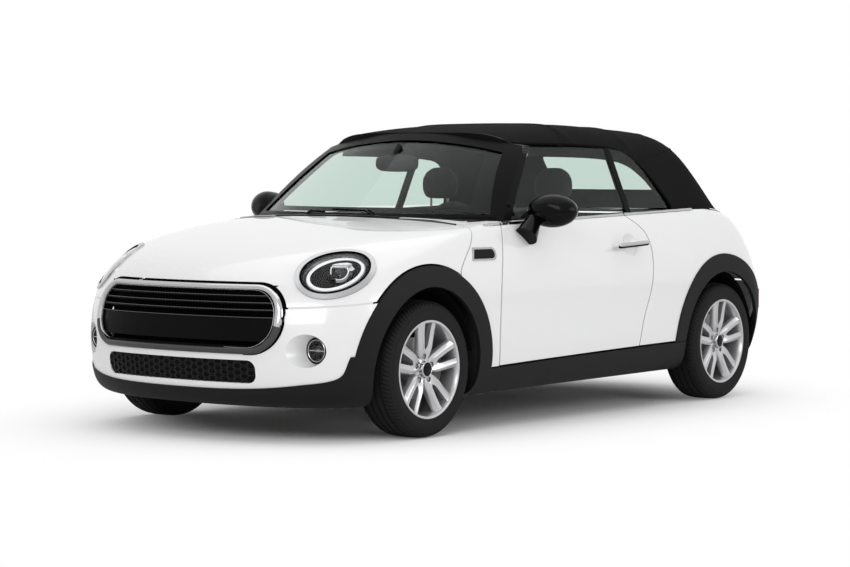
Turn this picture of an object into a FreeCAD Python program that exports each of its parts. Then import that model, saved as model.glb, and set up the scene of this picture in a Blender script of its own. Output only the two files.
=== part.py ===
"""Compact two-door convertible car with a fabric roof, as separate panels, glass, running gear and cabin pieces.

Frame: millimetres, +Z up, the car faces -Y, +X is its left side, and the origin is on the ground at mid-length.
"""
import FreeCAD, Part
import math
import os
import Sketcher

from FreeCAD import Placement, Rotation, Vector

SIZES = (
    ("wheelbase", 2495, "front axle to rear axle"),
    ("front_overhang", 759, "front axle to nose"),
    ("rear_overhang", 567, "rear axle to tail"),
    ("body_width", 1716, "over the body sides at their widest level"),
    ("belt_height", 972, "ground to the base of the side windows"),
    ("sill_height", 165, "ground to the lowest edge of the body skin"),
    ("roof_height", 1415, "ground to the top of the fabric roof"),
    ("track", 1501, "left wheel plane to right wheel plane"),
    ("panel_thickness", 22, "outer panels with their folded edges"),
    ("door_thickness", 125, "whole door, skin to trim"),
    ("panel_gap", 8, "shut lines, measured along the car"),
    ("trim_stand", 7, "how far the plastic trims stand off the skin"),
    ("arch_radius", 365, "wheel opening"),
    ("arch_band", 94, "width of the wheel arch trims"),
    ("liner_wall", 5, "wheel arch liners"),
    ("tyre_radius", 305, "tyre, ground to axle"),
    ("tyre_width", 195, "tyre section"),
    ("rim_radius", 220, "over the rim flange"),
    ("rim_width", 188, "over both rim flanges"),
    ("disc_radius", 140, "brake discs"),
    ("disc_thickness", 22, "brake discs"),
    ("shaft_radius", 20, "wheel stub shafts"),
    ("running_gap", 0.3, "clearance round the shafts"),
    ("glass_thickness", 5, "all window panes"),
    ("roof_thickness", 24, "fabric roof with its bows and lining"),
    ("floor_thickness", 25, "floor with its ribs"),
    ("floor_height", 175, "ground to the underside of the floor"),
    ("grille_half_width", 557, "main grille frame"),
    ("steering_wheel_radius", 185, "steering wheel to the rim's centre line"),
    ("seat_width", 480, "front seats"),
    ("headlamp_long", 190, "headlamp ring, half its long axis"),
    ("headlamp_short", 141, "headlamp ring, half its short axis"),
    ("mirror_reach", 1005, "centre line to the door mirrors' tips"),
)

doc = FreeCAD.newDocument("convertible_car")
sheet = doc.addObject("Spreadsheet::Sheet", "sizes")
for line, (alias, number, meaning) in enumerate(SIZES, start=1):
    sheet.set(f"A{line}", meaning)
    sheet.set(f"B{line}", str(number))
    sheet.setAlias(f"B{line}", alias)
doc.recompute()


def size(alias):
    """The driving dimension of that name, in millimetres."""
    return float(getattr(sheet, alias))


# Places that follow from the driving dimensions.
LENGTH = size("front_overhang") + size("wheelbase") + size("rear_overhang")
NOSE = -LENGTH / 2
TAIL = LENGTH / 2
FRONT_AXLE = NOSE + size("front_overhang")
REAR_AXLE = TAIL - size("rear_overhang")
HALF_WIDTH = size("body_width") / 2
AXLE_HEIGHT = size("tyre_radius")
WHEEL_PLANE = size("track") / 2
BELT = size("belt_height")
SILL = size("sill_height")
ROOF = size("roof_height")
SKIN = size("panel_thickness")
GAP = size("panel_gap")
TRIM_OUTER = size("arch_radius") + size("arch_band")

PIECES = {}


def rise(fraction):
    """Height at a fraction of the way from the body's lowest edge to the belt."""
    return SILL + fraction * (BELT - SILL)


def facing_out(solid):
    """The same solid with its faces pointing outwards."""
    if solid.Volume < 0:
        solid.reverse()
    return solid


def keep(name, shape, placement=None):
    """Adds a free-form sub-part to the document under its node's name."""
    feature = doc.addObject("Part::Feature", name)
    feature.Label = name
    if shape.ShapeType == "Compound" and len(shape.Solids) == 1:
        shape = shape.Solids[0]
    feature.Shape = shape
    feature.Placement = placement or Placement()
    PIECES[name] = feature
    return feature


def mirrored(shape):
    """The same shape on the car's other side."""
    return shape.mirror(Vector(0, 0, 0), Vector(1, 0, 0))


def both_sides(shape):
    """A left-hand solid with its right-hand twin."""
    return Part.makeCompound([shape, mirrored(shape)])


# The body's outer skin is one closed band, drawn as rows of control points from the lowest edge to the belt.
# Each row is a rounded rectangle seen from above: a curved nose, straight sides and a curved tail.
# Row: nose set back, nose height, nose crown, corner power, side start behind the front axle, side inset,
# side heights at start and end, side end behind the rear axle, corner power, tail set in, tail height.
SKIN_ROWS = (
    (125, -0.005, 60, 3.0, -150, 118, -0.005, 0.025, 150, 3.2, 115, 0.050),
    (37, 0.000, 75, 3.0, -150, 43, 0.004, 0.033, 160, 3.3, 35, 0.062),
    (9, 0.118, 80, 3.0, -150, 16, 0.143, 0.180, 190, 3.4, 8, 0.167),
    (-5, 0.291, 80, 3.0, -150, 6, 0.328, 0.341, 225, 3.5, -6, 0.316),
    (8, 0.465, 80, 2.9, -130, -2, 0.502, 0.514, 200, 3.6, 7, 0.452),
    (33, 0.613, 80, 2.7, -70, 1, 0.638, 0.651, 150, 3.5, 34, 0.589),
    (84, 0.719, 80, 2.5, 30, 16, 0.750, 0.774, 105, 3.4, 62, 0.713),
    (199, 0.799, 80, 2.4, 170, 38, 0.843, 0.874, 60, 3.3, 92, 0.824),
    (449, 0.880, 60, 2.3, 330, 60, 0.905, 0.948, 20, 3.2, 130, 0.911),
    (789, 0.954, 40, 2.3, 490, 80, 0.945, 1.000, -40, 3.2, 190, 0.979),
    (1119, 1.000, 20, 2.3, 670, 103, 0.973, 1.028, -140, 3.2, 262, 1.016),
)
CORNER_ANGLES = (0, 3, 10, 20, 32, 45, 58, 70, 80, 87)
SIDE_SPANS = 8
TAIL_TUCK = 15


def half_row(row):
    """Control points of one row, from the middle of the nose along the left side to the middle of the tail."""
    set_back, nose_f, crown, nose_power, start, inset, start_f, end_f, end, tail_power, set_in, tail_f = row
    nose_y = NOSE + set_back
    tail_y = TAIL - set_in
    start_y = FRONT_AXLE + start
    end_y = REAR_AXLE + end
    half = HALF_WIDTH - inset
    nose_z, start_z, end_z, tail_z = (rise(f) for f in (nose_f, start_f, end_f, tail_f))
    points = []
    for angle in CORNER_ANGLES:
        sine, cosine = math.sin(math.radians(angle)), math.cos(math.radians(angle))
        across, along = sine ** (2 / nose_power), cosine ** (2 / nose_power)
        y = start_y + (nose_y - start_y) * along + crown * across**2 * along
        points.append(Vector(half * across, y, nose_z + (start_z - nose_z) * across**2))
    for span in range(SIDE_SPANS + 1):
        share = span / SIDE_SPANS
        points.append(Vector(half, start_y + (end_y - start_y) * share, start_z + (end_z - start_z) * share))
    for angle in reversed(CORNER_ANGLES):
        sine, cosine = math.sin(math.radians(angle)), math.cos(math.radians(angle))
        across, along = sine ** (2 / tail_power), cosine ** (2 / tail_power)
        y = end_y + (tail_y - end_y) * along - TAIL_TUCK * across**2 * along
        points.append(Vector(half * across, y, tail_z + (end_z - tail_z) * across**2))
    return points


def skin_net():
    """Control points of the whole band, starting at the middle of the tail, row by row."""
    net = []
    for row in SKIN_ROWS:
        left = half_row(row)
        right = [Vector(-p.x, p.y, p.z) for p in left[-2:0:-1]]
        around = left + right
        tail = len(left) - 1
        net.append(around[tail:] + around[:tail])
    return net


def offset_net(net, distance):
    """The same net moved along its own normals, outwards for a positive distance."""
    rows, columns = len(net), len(net[0])
    moved = []
    for i in range(rows):
        line = []
        for j in range(columns):
            along = net[i][(j + 1) % columns] - net[i][j - 1]
            up = net[min(i + 1, rows - 1)][j] - net[max(i - 1, 0)][j]
            normal = along.cross(up).normalize()
            line.append(net[i][j] + normal * distance)
        moved.append(line)
    return moved


def clamped_knots(poles, degree=3):
    """Knots and multiplicities of an open spline with that many control points."""
    spans = poles - degree
    knots = [k / spans for k in range(spans + 1)]
    counts = [degree + 1] + [1] * (spans - 1) + [degree + 1]
    return knots, counts


def band_surface(net):
    """The spline surface of a closed net: rows upwards, columns round the car."""
    up_knots, up_counts = clamped_knots(len(net))
    columns = len(net[0])
    around_knots = list(range(columns + 1))
    around_counts = [1] * (columns + 1)
    surface = Part.BSplineSurface()
    surface.buildFromPolesMultsKnots(
        net, up_counts, around_counts, up_knots, around_knots, False, True, 3, 3
    )
    return surface


def patch_surface(net):
    """The spline surface of an open net."""
    up_knots, up_counts = clamped_knots(len(net))
    side_knots, side_counts = clamped_knots(len(net[0]))
    surface = Part.BSplineSurface()
    surface.buildFromPolesMultsKnots(
        net, up_counts, side_counts, up_knots, side_knots, False, False, 3, 3
    )
    return surface


def band_shell(outer_stand, inner_stand):
    """A closed band of the body between two distances from the skin."""
    net = skin_net()
    faces = []
    edges = []
    for stand in (outer_stand, inner_stand):
        surface = band_surface(offset_net(net, stand) if stand else net)
        faces.append(surface.toShape())
        first, last, _, _ = surface.bounds()
        edges.append((surface.uIso(first).toShape(), surface.uIso(last).toShape()))
    for low, high in zip(edges[0], edges[1]):
        faces.append(Part.makeRuledSurface(low, high))
    shell = Part.makeShell(faces)
    shell.sewShape()
    return facing_out(Part.makeSolid(shell))


def smooth(points):
    """One smooth edge through points given as (y, z)."""
    curve = Part.BSplineCurve()
    curve.interpolate([Vector(0, y, z) for y, z in points])
    return curve.toShape()


def straight(points):
    """Straight edges through points given as (y, z)."""
    vectors = [Vector(0, y, z) for y, z in points]
    return [Part.makeLine(a, b) for a, b in zip(vectors, vectors[1:])]


def side_region(edges, from_x, to_x):
    """A side-view outline carried across the car from one x to another."""
    wire = Part.Wire(Part.__sortEdges__(edges))
    face = Part.Face(wire)
    face.translate(Vector(from_x, 0, 0))
    return face.extrude(Vector(to_x - from_x, 0, 0))


def axle_cylinder(axle_y, radius, from_x, to_x):
    """A cylinder along X about an axle."""
    return Part.makeCylinder(radius, to_x - from_x, Vector(from_x, axle_y, AXLE_HEIGHT), Vector(1, 0, 0))


def box(x0, x1, y0, y1, z0, z1):
    """A box between two corners."""
    return Part.makeBox(x1 - x0, y1 - y0, z1 - z0, Vector(x0, y0, z0))


WIDE = HALF_WIDTH + 200

# Shut lines seen from the side, as (y, z).
bonnet_side_cut = [
    (FRONT_AXLE + 380, rise(0.959)), (FRONT_AXLE + 363, rise(0.911)), (FRONT_AXLE + 334, rise(0.862)),
    (FRONT_AXLE + 289, rise(0.807)), (FRONT_AXLE + 214, rise(0.704)),
]
bumper_line = [(NOSE - 60, rise(0.505)), (FRONT_AXLE - 666, rise(0.517)), (FRONT_AXLE - 300, rise(0.556))]
door_front_cut = [
    (FRONT_AXLE + 628, rise(0.962)), (FRONT_AXLE + 580, rise(0.864)), (FRONT_AXLE + 553, rise(0.773)),
    (FRONT_AXLE + 529, rise(0.668)), (FRONT_AXLE + 515, rise(0.472)), (FRONT_AXLE + 519, rise(0.318)),
    (FRONT_AXLE + 531, rise(0.157)),
]
door_rear_cut = [
    (REAR_AXLE - 830, rise(0.997)), (REAR_AXLE - 775, rise(0.954)), (REAR_AXLE - 716, rise(0.896)),
    (REAR_AXLE - 689, rise(0.821)), (REAR_AXLE - 688, rise(0.738)), (REAR_AXLE - 697, rise(0.639)),
    (REAR_AXLE - 728, rise(0.508)), (REAR_AXLE - 775, rise(0.362)), (REAR_AXLE - 790, rise(0.263)),
    (REAR_AXLE - 799, rise(0.185)),
]
sill_line = [(FRONT_AXLE + 300, rise(0.140)), (FRONT_AXLE + 1151, rise(0.170)), (REAR_AXLE - 300, rise(0.196))]


def moved(points, along, up=0):
    """A side-view line moved along the car and upwards."""
    return [(y + along, z + up) for y, z in points]


OVER = ROOF + 200
UNDER = -50


def between(front_line, rear_line, bottom, top):
    """Outline edges between two upright side-view lines, closed straight below and above."""
    front = [(front_line[0][0], top), front_line[0]]
    rear = [(rear_line[0][0], top), rear_line[0]]
    edges = straight(front) + [smooth(front_line)] + straight(rear) + [smooth(rear_line)]
    edges += straight([(front_line[0][0], top), (rear_line[0][0], top)])
    edges += straight([front_line[-1]] + bottom + [rear_line[-1]])
    return edges


skin_shell = band_shell(0, -SKIN)
trim_shell = band_shell(size("trim_stand"), -12)

# The side of the body as a solid as thick as a door: the skin pushed inwards along X.
skin_surface = band_surface(skin_net())


def side_wall(from_y, to_y, thickness):
    """The left skin between two places along the car, with a flat-sided thickness towards the cabin."""
    cut = skin_surface.toShape().common(box(0, WIDE, from_y, to_y, UNDER, OVER))
    solids = []
    for face in cut.Faces:
        solids.append(face.extrude(Vector(-thickness, 0, 0)))
    return solids[0].multiFuse(solids[1:]) if len(solids) > 1 else solids[0]


wall = side_wall(FRONT_AXLE + 480, REAR_AXLE, size("door_thickness"))


def strip(line, level, from_x=-WIDE, to_x=WIDE):
    """Everything between a side-view line and a level above or below it."""
    edges = [smooth(line)] + straight([line[-1], (line[-1][0], level), (line[0][0], level), line[0]])
    return side_region(edges, from_x, to_x)


# Doors: between their two shut lines and above the sill trims.
sill_top = moved(sill_line, 0, GAP)
door_region = side_region(between(door_front_cut, door_rear_cut, [], OVER), 0, WIDE)
door_panel = wall.common(door_region).common(strip(sill_top, OVER))

# Front wings: the strip behind the bonnet's cut and ahead of the door, down to the sill trims.
wing_region = side_region(
    between(moved(bonnet_side_cut, GAP), moved(door_front_cut, -GAP), [(bonnet_side_cut[-1][0] + GAP, SILL)], OVER),
    0, WIDE)
wing_foot = [(FRONT_AXLE, sill_top[0][1])] + sill_top
wing = skin_shell.common(wing_region).common(strip(wing_foot, OVER))
wing = wing.cut(axle_cylinder(FRONT_AXLE, TRIM_OUTER, 0, WIDE))

# Rear quarters: as thick as the wall beside the cabin, then a single skin round to the tail lamps.
bumper_top_rear = rise(0.554)
TAILGATE_HALF = 530
quarter_front = moved(door_rear_cut, GAP)
quarter_region = side_region(
    between(quarter_front, [(TAIL + 60, rise(1.0)), (TAIL + 60, rise(0.8)), (TAIL + 60, rise(0.4)),
                            (TAIL + 60, rise(0.1))], [], OVER), 0, WIDE)
quarter_wall = wall.cut(axle_cylinder(REAR_AXLE, TRIM_OUTER, 0, WIDE)).cut(box(0, WIDE, REAR_AXLE - 60, TAIL, 0, OVER))
quarter = skin_shell.common(quarter_region).fuse(quarter_wall.common(quarter_region))
quarter = quarter.common(strip(sill_top + [(TAIL + 100, sill_top[-1][1])], OVER))
quarter = quarter.cut(axle_cylinder(REAR_AXLE, TRIM_OUTER, 0, WIDE))
quarter = quarter.cut(box(0, WIDE, REAR_AXLE, TAIL + 100, 0, bumper_top_rear))
quarter = quarter.cut(box(-WIDE, TAILGATE_HALF + GAP, REAR_AXLE, TAIL + 100, 0, OVER))


def front_outline(half_width, low, high, corner):
    """A rounded rectangle seen from the front, as a prism through the nose."""
    wire_box = Part.makeBox(2 * half_width, 400, high - low, Vector(-half_width, NOSE - 60, low))
    uprights = [e for e in wire_box.Edges if abs(e.tangentAt(e.FirstParameter).y) > 0.99]
    return wire_box.makeFillet(corner, uprights)


# Grille openings in the nose.
GRILLE_LOW, GRILLE_HIGH = rise(0.278), rise(0.650)
GRILLE_HALF = size("grille_half_width")
GRILLE_CORNER = (GRILLE_HIGH - GRILLE_LOW) * 0.47
GRILLE_FRAME = 38
GRILLE_RIM = 26
INTAKE_LOW, INTAKE_HIGH = rise(0.122), rise(0.246)
INTAKE_HALF = 440
INTAKE_CORNER = 38
FIT = 3

# Bonnet: everything above the bumper line and ahead of its rear cut, clear of the arch trims.
CROWN_CUT_MIDDLE = FRONT_AXLE + 301
bonnet_edges = [smooth(moved(bumper_line, 0, GAP))]
bonnet_edges += straight([moved(bumper_line, 0, GAP)[0], (NOSE - 60, OVER), (bonnet_side_cut[0][0], OVER),
                          bonnet_side_cut[0]])
bonnet_edges += [smooth(bonnet_side_cut)]
bonnet_edges += straight([bonnet_side_cut[-1], (bonnet_side_cut[-1][0], bumper_line[-1][1] + GAP),
                          (bumper_line[-1][0], bumper_line[-1][1] + GAP)])
bonnet_region = side_region(bonnet_edges, -WIDE, WIDE)


def crown_prism(middle_y, side_y, far_y):
    """Everything behind a line that bows forward from the sides to the middle, seen from above."""
    bow = Part.Arc(Vector(-WIDE, side_y, 0), Vector(0, middle_y, 0), Vector(WIDE, side_y, 0)).toShape()
    rest = Part.makePolygon([Vector(WIDE, side_y, 0), Vector(WIDE, far_y, 0), Vector(-WIDE, far_y, 0),
                             Vector(-WIDE, side_y, 0)])
    face = Part.Face(Part.Wire(Part.__sortEdges__([bow] + rest.Edges)))
    return face.extrude(Vector(0, 0, OVER))


bonnet = skin_shell.common(bonnet_region)
bonnet = bonnet.cut(crown_prism(CROWN_CUT_MIDDLE, CROWN_CUT_MIDDLE + 130, REAR_AXLE))
bonnet = bonnet.cut(front_outline(GRILLE_HALF + GAP, GRILLE_LOW - GAP, GRILLE_HIGH + GAP, GRILLE_CORNER + GAP))
bonnet = bonnet.cut(axle_cylinder(FRONT_AXLE, TRIM_OUTER + GAP, -WIDE, WIDE))

# Headlamp: an ellipse on an inclined plane, swept along that plane's normal.
LAMP_CENTRE = Vector(666, NOSE + 319, rise(0.728))
LAMP_NORMAL = Vector(0.42, -0.66, 0.62).normalize()
LAMP_LONG, LAMP_SHORT = size("headlamp_long"), size("headlamp_short")
LAMP_ROLL = 35
LAMP_ACROSS = LAMP_NORMAL.cross(Vector(0, 0, 1)).normalize() * -1
if LAMP_ACROSS.x < 0:
    LAMP_ACROSS = LAMP_ACROSS * -1
LAMP_UP = LAMP_NORMAL.cross(LAMP_ACROSS)
if LAMP_UP.z < 0:
    LAMP_UP = LAMP_UP * -1


def lamp_ellipse(margin, depth_from, depth_to):
    """An elliptical bar on the left headlamp's axis, its outline inset by a margin."""
    turn = math.radians(LAMP_ROLL)
    long_way = LAMP_ACROSS * math.cos(turn) + LAMP_UP * math.sin(turn)
    short_way = LAMP_NORMAL.cross(long_way)
    centre = LAMP_CENTRE + LAMP_NORMAL * depth_from
    ellipse = Part.Ellipse(centre + long_way * (LAMP_LONG - margin), centre + short_way * (LAMP_SHORT - margin),
                           centre)
    face = Part.Face(Part.Wire(ellipse.toShape()))
    return face.extrude(LAMP_NORMAL * (depth_to - depth_from))


RING_WIDTH = 26
lamp_hole = lamp_ellipse(4, -120, 120)
bonnet = bonnet.cut(lamp_hole).cut(mirrored(lamp_hole))
ring_outer = band_shell(8, -SKIN)
lamp_ring = ring_outer.common(lamp_ellipse(4, -120, 120)).cut(lamp_ellipse(RING_WIDTH, -130, 130))
lamp_lens = band_shell(2, -2).common(lamp_ellipse(RING_WIDTH + GAP, -130, 120))
# Behind the lens: an open bowl with an upright light ring and a round projector on its floor.
BOWL_EDGE = RING_WIDTH + GAP
BOWL_WALL = 8
BOWL_DEPTH = 70
LIGHT_RING = (BOWL_EDGE + 22, BOWL_EDGE + 42)
PROJECTOR_RADIUS = 36
bowl = band_shell(-2, -BOWL_DEPTH).common(lamp_ellipse(BOWL_EDGE, -170, 120))
bowl = bowl.cut(band_shell(30, -BOWL_DEPTH + BOWL_WALL).common(lamp_ellipse(BOWL_EDGE + BOWL_WALL, -170, 120)))
light_ring = band_shell(-20, -BOWL_DEPTH + BOWL_WALL / 2).common(
    lamp_ellipse(LIGHT_RING[0], -170, 120)).cut(lamp_ellipse(LIGHT_RING[1], -180, 130))
projector = band_shell(-24, -BOWL_DEPTH + BOWL_WALL / 2).common(
    Part.makeCylinder(PROJECTOR_RADIUS, 300, LAMP_CENTRE - LAMP_NORMAL * 150, LAMP_NORMAL))
lamp_body = bowl.fuse(light_ring).fuse(projector)

# Front bumper: below the bumper line, down to the lip.
lip_line = [
    (NOSE - 60, rise(0.090)), (NOSE + 99, rise(0.104)), (NOSE + 153, rise(0.121)), (NOSE + 221, rise(0.139)),
    (NOSE + 263, rise(0.169)), (NOSE + 277, rise(0.216)), (NOSE + 290, rise(0.270)),
]
lip_wall = straight([lip_line[-1], (FRONT_AXLE, lip_line[-1][1])])


def below_lip():
    """Everything below the bumper's lower edge."""
    edges = [smooth(lip_line)] + lip_wall
    edges += straight([(FRONT_AXLE, lip_line[-1][1]), (FRONT_AXLE, UNDER), (NOSE - 60, UNDER), lip_line[0]])
    return side_region(edges, -WIDE, WIDE)


front_end = box(-WIDE, WIDE, NOSE - 60, FRONT_AXLE, UNDER, OVER)
front_bumper = skin_shell.common(strip(bumper_line, UNDER)).common(front_end).cut(below_lip())
front_bumper = front_bumper.cut(axle_cylinder(FRONT_AXLE, TRIM_OUTER, -WIDE, WIDE))
front_bumper = front_bumper.cut(front_outline(GRILLE_HALF, GRILLE_LOW, GRILLE_HIGH, GRILLE_CORNER))
front_bumper = front_bumper.cut(front_outline(INTAKE_HALF, INTAKE_LOW, INTAKE_HIGH, INTAKE_CORNER))

FOG_FACE = Vector(655, NOSE + 210, rise(0.301))
FOG_RADIUS = 58
FOG_FLARE = 34
POCKET_DEPTH = 130
POCKET_WALL = 6
forward = Vector(0, -1, 0)
pocket_mouth = Part.makeCone(FOG_RADIUS, FOG_RADIUS + FOG_FLARE, POCKET_DEPTH, FOG_FACE, forward)
pocket_tube = Part.makeCylinder(FOG_RADIUS + POCKET_WALL, 30, FOG_FACE - forward * 30, forward).fuse(
    Part.makeCone(FOG_RADIUS + POCKET_WALL, FOG_RADIUS + FOG_FLARE + POCKET_WALL, POCKET_DEPTH, FOG_FACE, forward))
nose_patch = skin_surface.toShape().common(box(500, WIDE, NOSE - 60, NOSE + 400, rise(0.1), rise(0.5)))
ahead_of_nose = nose_patch.extrude(forward * 400)
pocket_bore = pocket_mouth.fuse(Part.makeCylinder(FOG_RADIUS, 60, FOG_FACE + Vector(0, 31, 0), forward))
pocket = pocket_tube.cut(ahead_of_nose).cut(pocket_bore)
for side_pocket, side_mouth in ((pocket, pocket_bore), (mirrored(pocket), mirrored(pocket_bore))):
    front_bumper = front_bumper.cut(side_mouth).fuse(side_pocket)
fog_back = Vector(0, 1, 0)
fog_lamp = Part.makeCylinder(FOG_RADIUS - 0.5, 60, FOG_FACE + fog_back * 4, fog_back)
fog_lamp = fog_lamp.cut(Part.makeCone(FOG_RADIUS - 7, 18, 44, FOG_FACE + fog_back * 4, fog_back))
fog_lamp = fog_lamp.fuse(Part.makeCylinder(10, 40, FOG_FACE + fog_back * 20, fog_back))

# Grille frame and what fills the two openings.
grille_band = band_shell(9, -30)
grille_outer = front_outline(GRILLE_HALF - FIT, GRILLE_LOW + FIT, GRILLE_HIGH - FIT, GRILLE_CORNER - FIT)
grille_inner = front_outline(GRILLE_HALF - GRILLE_FRAME, GRILLE_LOW + GRILLE_RIM, GRILLE_HIGH - GRILLE_RIM,
                             GRILLE_CORNER - GRILLE_RIM)
grille_frame = grille_band.common(grille_outer).cut(grille_inner)
slat_band = band_shell(-6, -28)
# From the bottom: a lower lip, the wide smooth panel with its ledge, and three thin vanes.
GRILLE_BARS = ((0.0, 0.04), (0.12, 0.53), (0.635, 0.665), (0.755, 0.785), (0.875, 0.905))
opening_low, opening_height = GRILLE_LOW + GRILLE_RIM, GRILLE_HIGH - GRILLE_LOW - 2 * GRILLE_RIM
slat_regions = [box(-WIDE, WIDE, NOSE - 60, NOSE + 400, opening_low + opening_height * low,
                    opening_low + opening_height * high) for low, high in GRILLE_BARS]
slats = slat_band.common(grille_inner)
slats = Part.makeCompound([slats.common(region) for region in slat_regions])
intake = slat_band.common(front_outline(INTAKE_HALF - 1, INTAKE_LOW + 2, INTAKE_HIGH - 1, INTAKE_CORNER - 1))

# Rear bumper, tailgate and tail lamps.
rear_end = box(-WIDE, WIDE, REAR_AXLE, TAIL + 100, UNDER, bumper_top_rear - GAP)
VALANCE_TOP = rise(0.185)
rear_bumper = skin_shell.common(rear_end).cut(axle_cylinder(REAR_AXLE, TRIM_OUTER, -WIDE, WIDE))
rear_bumper = rear_bumper.cut(box(-WIDE, WIDE, REAR_AXLE, TAIL + 100, UNDER, VALANCE_TOP))
TAILGATE_LOW = bumper_top_rear
TAILGATE_HIGH = rise(0.985)
tailgate = band_shell(0, -2 * SKIN).common(box(-TAILGATE_HALF, TAILGATE_HALF, REAR_AXLE, TAIL + 100, TAILGATE_LOW,
                                               TAILGATE_HIGH))
deck = skin_shell.common(box(-TAILGATE_HALF - 60, TAILGATE_HALF + 60, REAR_AXLE, TAIL + 100, TAILGATE_HIGH + GAP, OVER))
TAIL_LAMP = Vector(665, TAIL - 110, rise(0.825))
TAIL_LAMP_AXIS = Vector(0.45, 0.87, 0.2).normalize()
lamp_bar = Part.makeCylinder(92, 300, TAIL_LAMP - TAIL_LAMP_AXIS * 150, TAIL_LAMP_AXIS)
quarter = quarter.cut(lamp_bar)
tail_lamp = band_shell(8, -30).common(
    Part.makeCylinder(91, 300, TAIL_LAMP - TAIL_LAMP_AXIS * 150, TAIL_LAMP_AXIS))

# Plastic trims: arches, sills, front lip and rear valance.
between_arches = box(-WIDE, WIDE, FRONT_AXLE, REAR_AXLE, UNDER, OVER)


def arch_trim(axle, front_low, rear_low):
    """One side's wheel arch trim, down to a level ahead of the wheel and another behind it."""
    ring = axle_cylinder(axle, TRIM_OUTER - 1, 0, WIDE).cut(axle_cylinder(axle, size("arch_radius"), 0, WIDE))
    ring = ring.cut(box(0, WIDE, axle - 600, axle, UNDER, front_low))
    ring = ring.cut(box(0, WIDE, axle, axle + 600, UNDER, rear_low))
    return trim_shell.common(ring)


front_trim = arch_trim(FRONT_AXLE, lip_line[-1][1], sill_line[0][1])
rear_trim = arch_trim(REAR_AXLE, sill_line[-1][1], VALANCE_TOP)
arch_trims = Part.makeCompound([front_trim, mirrored(front_trim), rear_trim, mirrored(rear_trim)])

open_arches = axle_cylinder(FRONT_AXLE, size("arch_radius"), -WIDE, WIDE).fuse(
    axle_cylinder(REAR_AXLE, size("arch_radius"), -WIDE, WIDE))
sill_trim = trim_shell.common(strip(moved(sill_line, 0, -1), UNDER)).common(between_arches).cut(open_arches)
sill_trim = sill_trim.common(box(0, WIDE, FRONT_AXLE, REAR_AXLE, UNDER, OVER))
front_lip = trim_shell.common(below_lip()).cut(open_arches)
valance = trim_shell.common(box(-WIDE, WIDE, REAR_AXLE, TAIL + 100, UNDER, VALANCE_TOP - 1)).cut(open_arches)
TAIL_PIPE = Vector(-260, REAR_AXLE + 370, size("floor_height") + 72)
TAIL_PIPE_RADIUS = 32
valance = valance.cut(Part.makeCylinder(TAIL_PIPE_RADIUS + 10, 300, TAIL_PIPE, Vector(0, 1, 0)))
skirts = Part.makeCompound([front_lip, valance, sill_trim, mirrored(sill_trim)])

# Wheel arch liners: a half drum with its inner wall.
LINER = size("liner_wall")
LINER_RADIUS = size("arch_radius") + 4


def liner(axle, inner_x, outer_x, low):
    """The drum round one left wheel, open below and on the outside."""
    drum = axle_cylinder(axle, LINER_RADIUS + LINER, inner_x, outer_x)
    drum = drum.cut(axle_cylinder(axle, LINER_RADIUS, inner_x + LINER, outer_x + LINER))
    drum = drum.common(box(0, WIDE, axle - 500, axle + 500, low, OVER)).cut(trim_shell)
    return max(drum.Solids, key=lambda solid: solid.Volume)


FRONT_LINER_X = 462
REAR_LINER_X = 590
LINER_OUT = HALF_WIDTH - 60
front_liner = liner(FRONT_AXLE, FRONT_LINER_X, LINER_OUT, AXLE_HEIGHT + 60)
rear_liner = liner(REAR_AXLE, REAR_LINER_X, LINER_OUT, AXLE_HEIGHT + 60)
wheel_liners = Part.makeCompound([front_liner, mirrored(front_liner), rear_liner, mirrored(rear_liner)])

# The side panes lean inwards, so what meets them takes its width from the same slope.
LEAN = 0.4167
GLASS_X = 742


def pane_x(height):
    """How far out the side panes are at a height."""
    return GLASS_X - (height - BELT) * LEAN


# Windscreen and its frame: lofted through a section at the cowl, one half-way and one at the header.
# Section: height, place of its corner, half width, place of its middle, rise of its middle.
SCREEN_LOW, SCREEN_MIDDLE, SCREEN_HIGH = BELT - 20, BELT + 175, ROOF - 110
SCREEN = (
    (SCREEN_LOW, FRONT_AXLE + 650, pane_x(SCREEN_LOW) + 11.7, FRONT_AXLE + 365, -8),
    (SCREEN_MIDDLE, FRONT_AXLE + 840, pane_x(SCREEN_MIDDLE) + 12.9, FRONT_AXLE + 622, 0),
    (SCREEN_HIGH, FRONT_AXLE + 1030, pane_x(SCREEN_HIGH) - 7.2, FRONT_AXLE + 925, 62),
)


def screen_slab(start, depth):
    """A slab of the windscreen's shape between two depths behind its outer face."""
    bows = []
    for level, corner_y, corner_x, middle_y, middle_rise in SCREEN:
        bow = Part.Arc(Vector(-corner_x, corner_y + start, level), Vector(0, middle_y + start, level + middle_rise),
                       Vector(corner_x, corner_y + start, level))
        bows.append(Part.Wire(bow.toShape()))
    sheet_face = Part.makeLoft(bows, False, False).Faces[0]
    return facing_out(sheet_face.extrude(Vector(0, depth - start, 0)))


PILLAR = 52
COWL_HALF = 690
frame_slab = screen_slab(0, 60)
SCREEN_HALF_LOW, SCREEN_HALF_HIGH = SCREEN[0][2] - PILLAR - 12, SCREEN[2][2] - PILLAR
GLASS_LOW, GLASS_HIGH = BELT + 8, ROOF - 82
screen_foot = Part.makePolygon([
    Vector(-SCREEN_HALF_HIGH, 0, ROOF - 142), Vector(-SCREEN_HALF_LOW, 0, GLASS_LOW),
    Vector(SCREEN_HALF_LOW, 0, GLASS_LOW), Vector(SCREEN_HALF_HIGH, 0, ROOF - 142)])
screen_top = Part.Arc(Vector(-SCREEN_HALF_HIGH, 0, ROOF - 142), Vector(0, 0, GLASS_HIGH),
                      Vector(SCREEN_HALF_HIGH, 0, ROOF - 142)).toShape()
aperture = Part.Face(Part.Wire(Part.__sortEdges__(screen_foot.Edges + [screen_top])))
aperture.translate(Vector(0, NOSE, 0))
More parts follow.
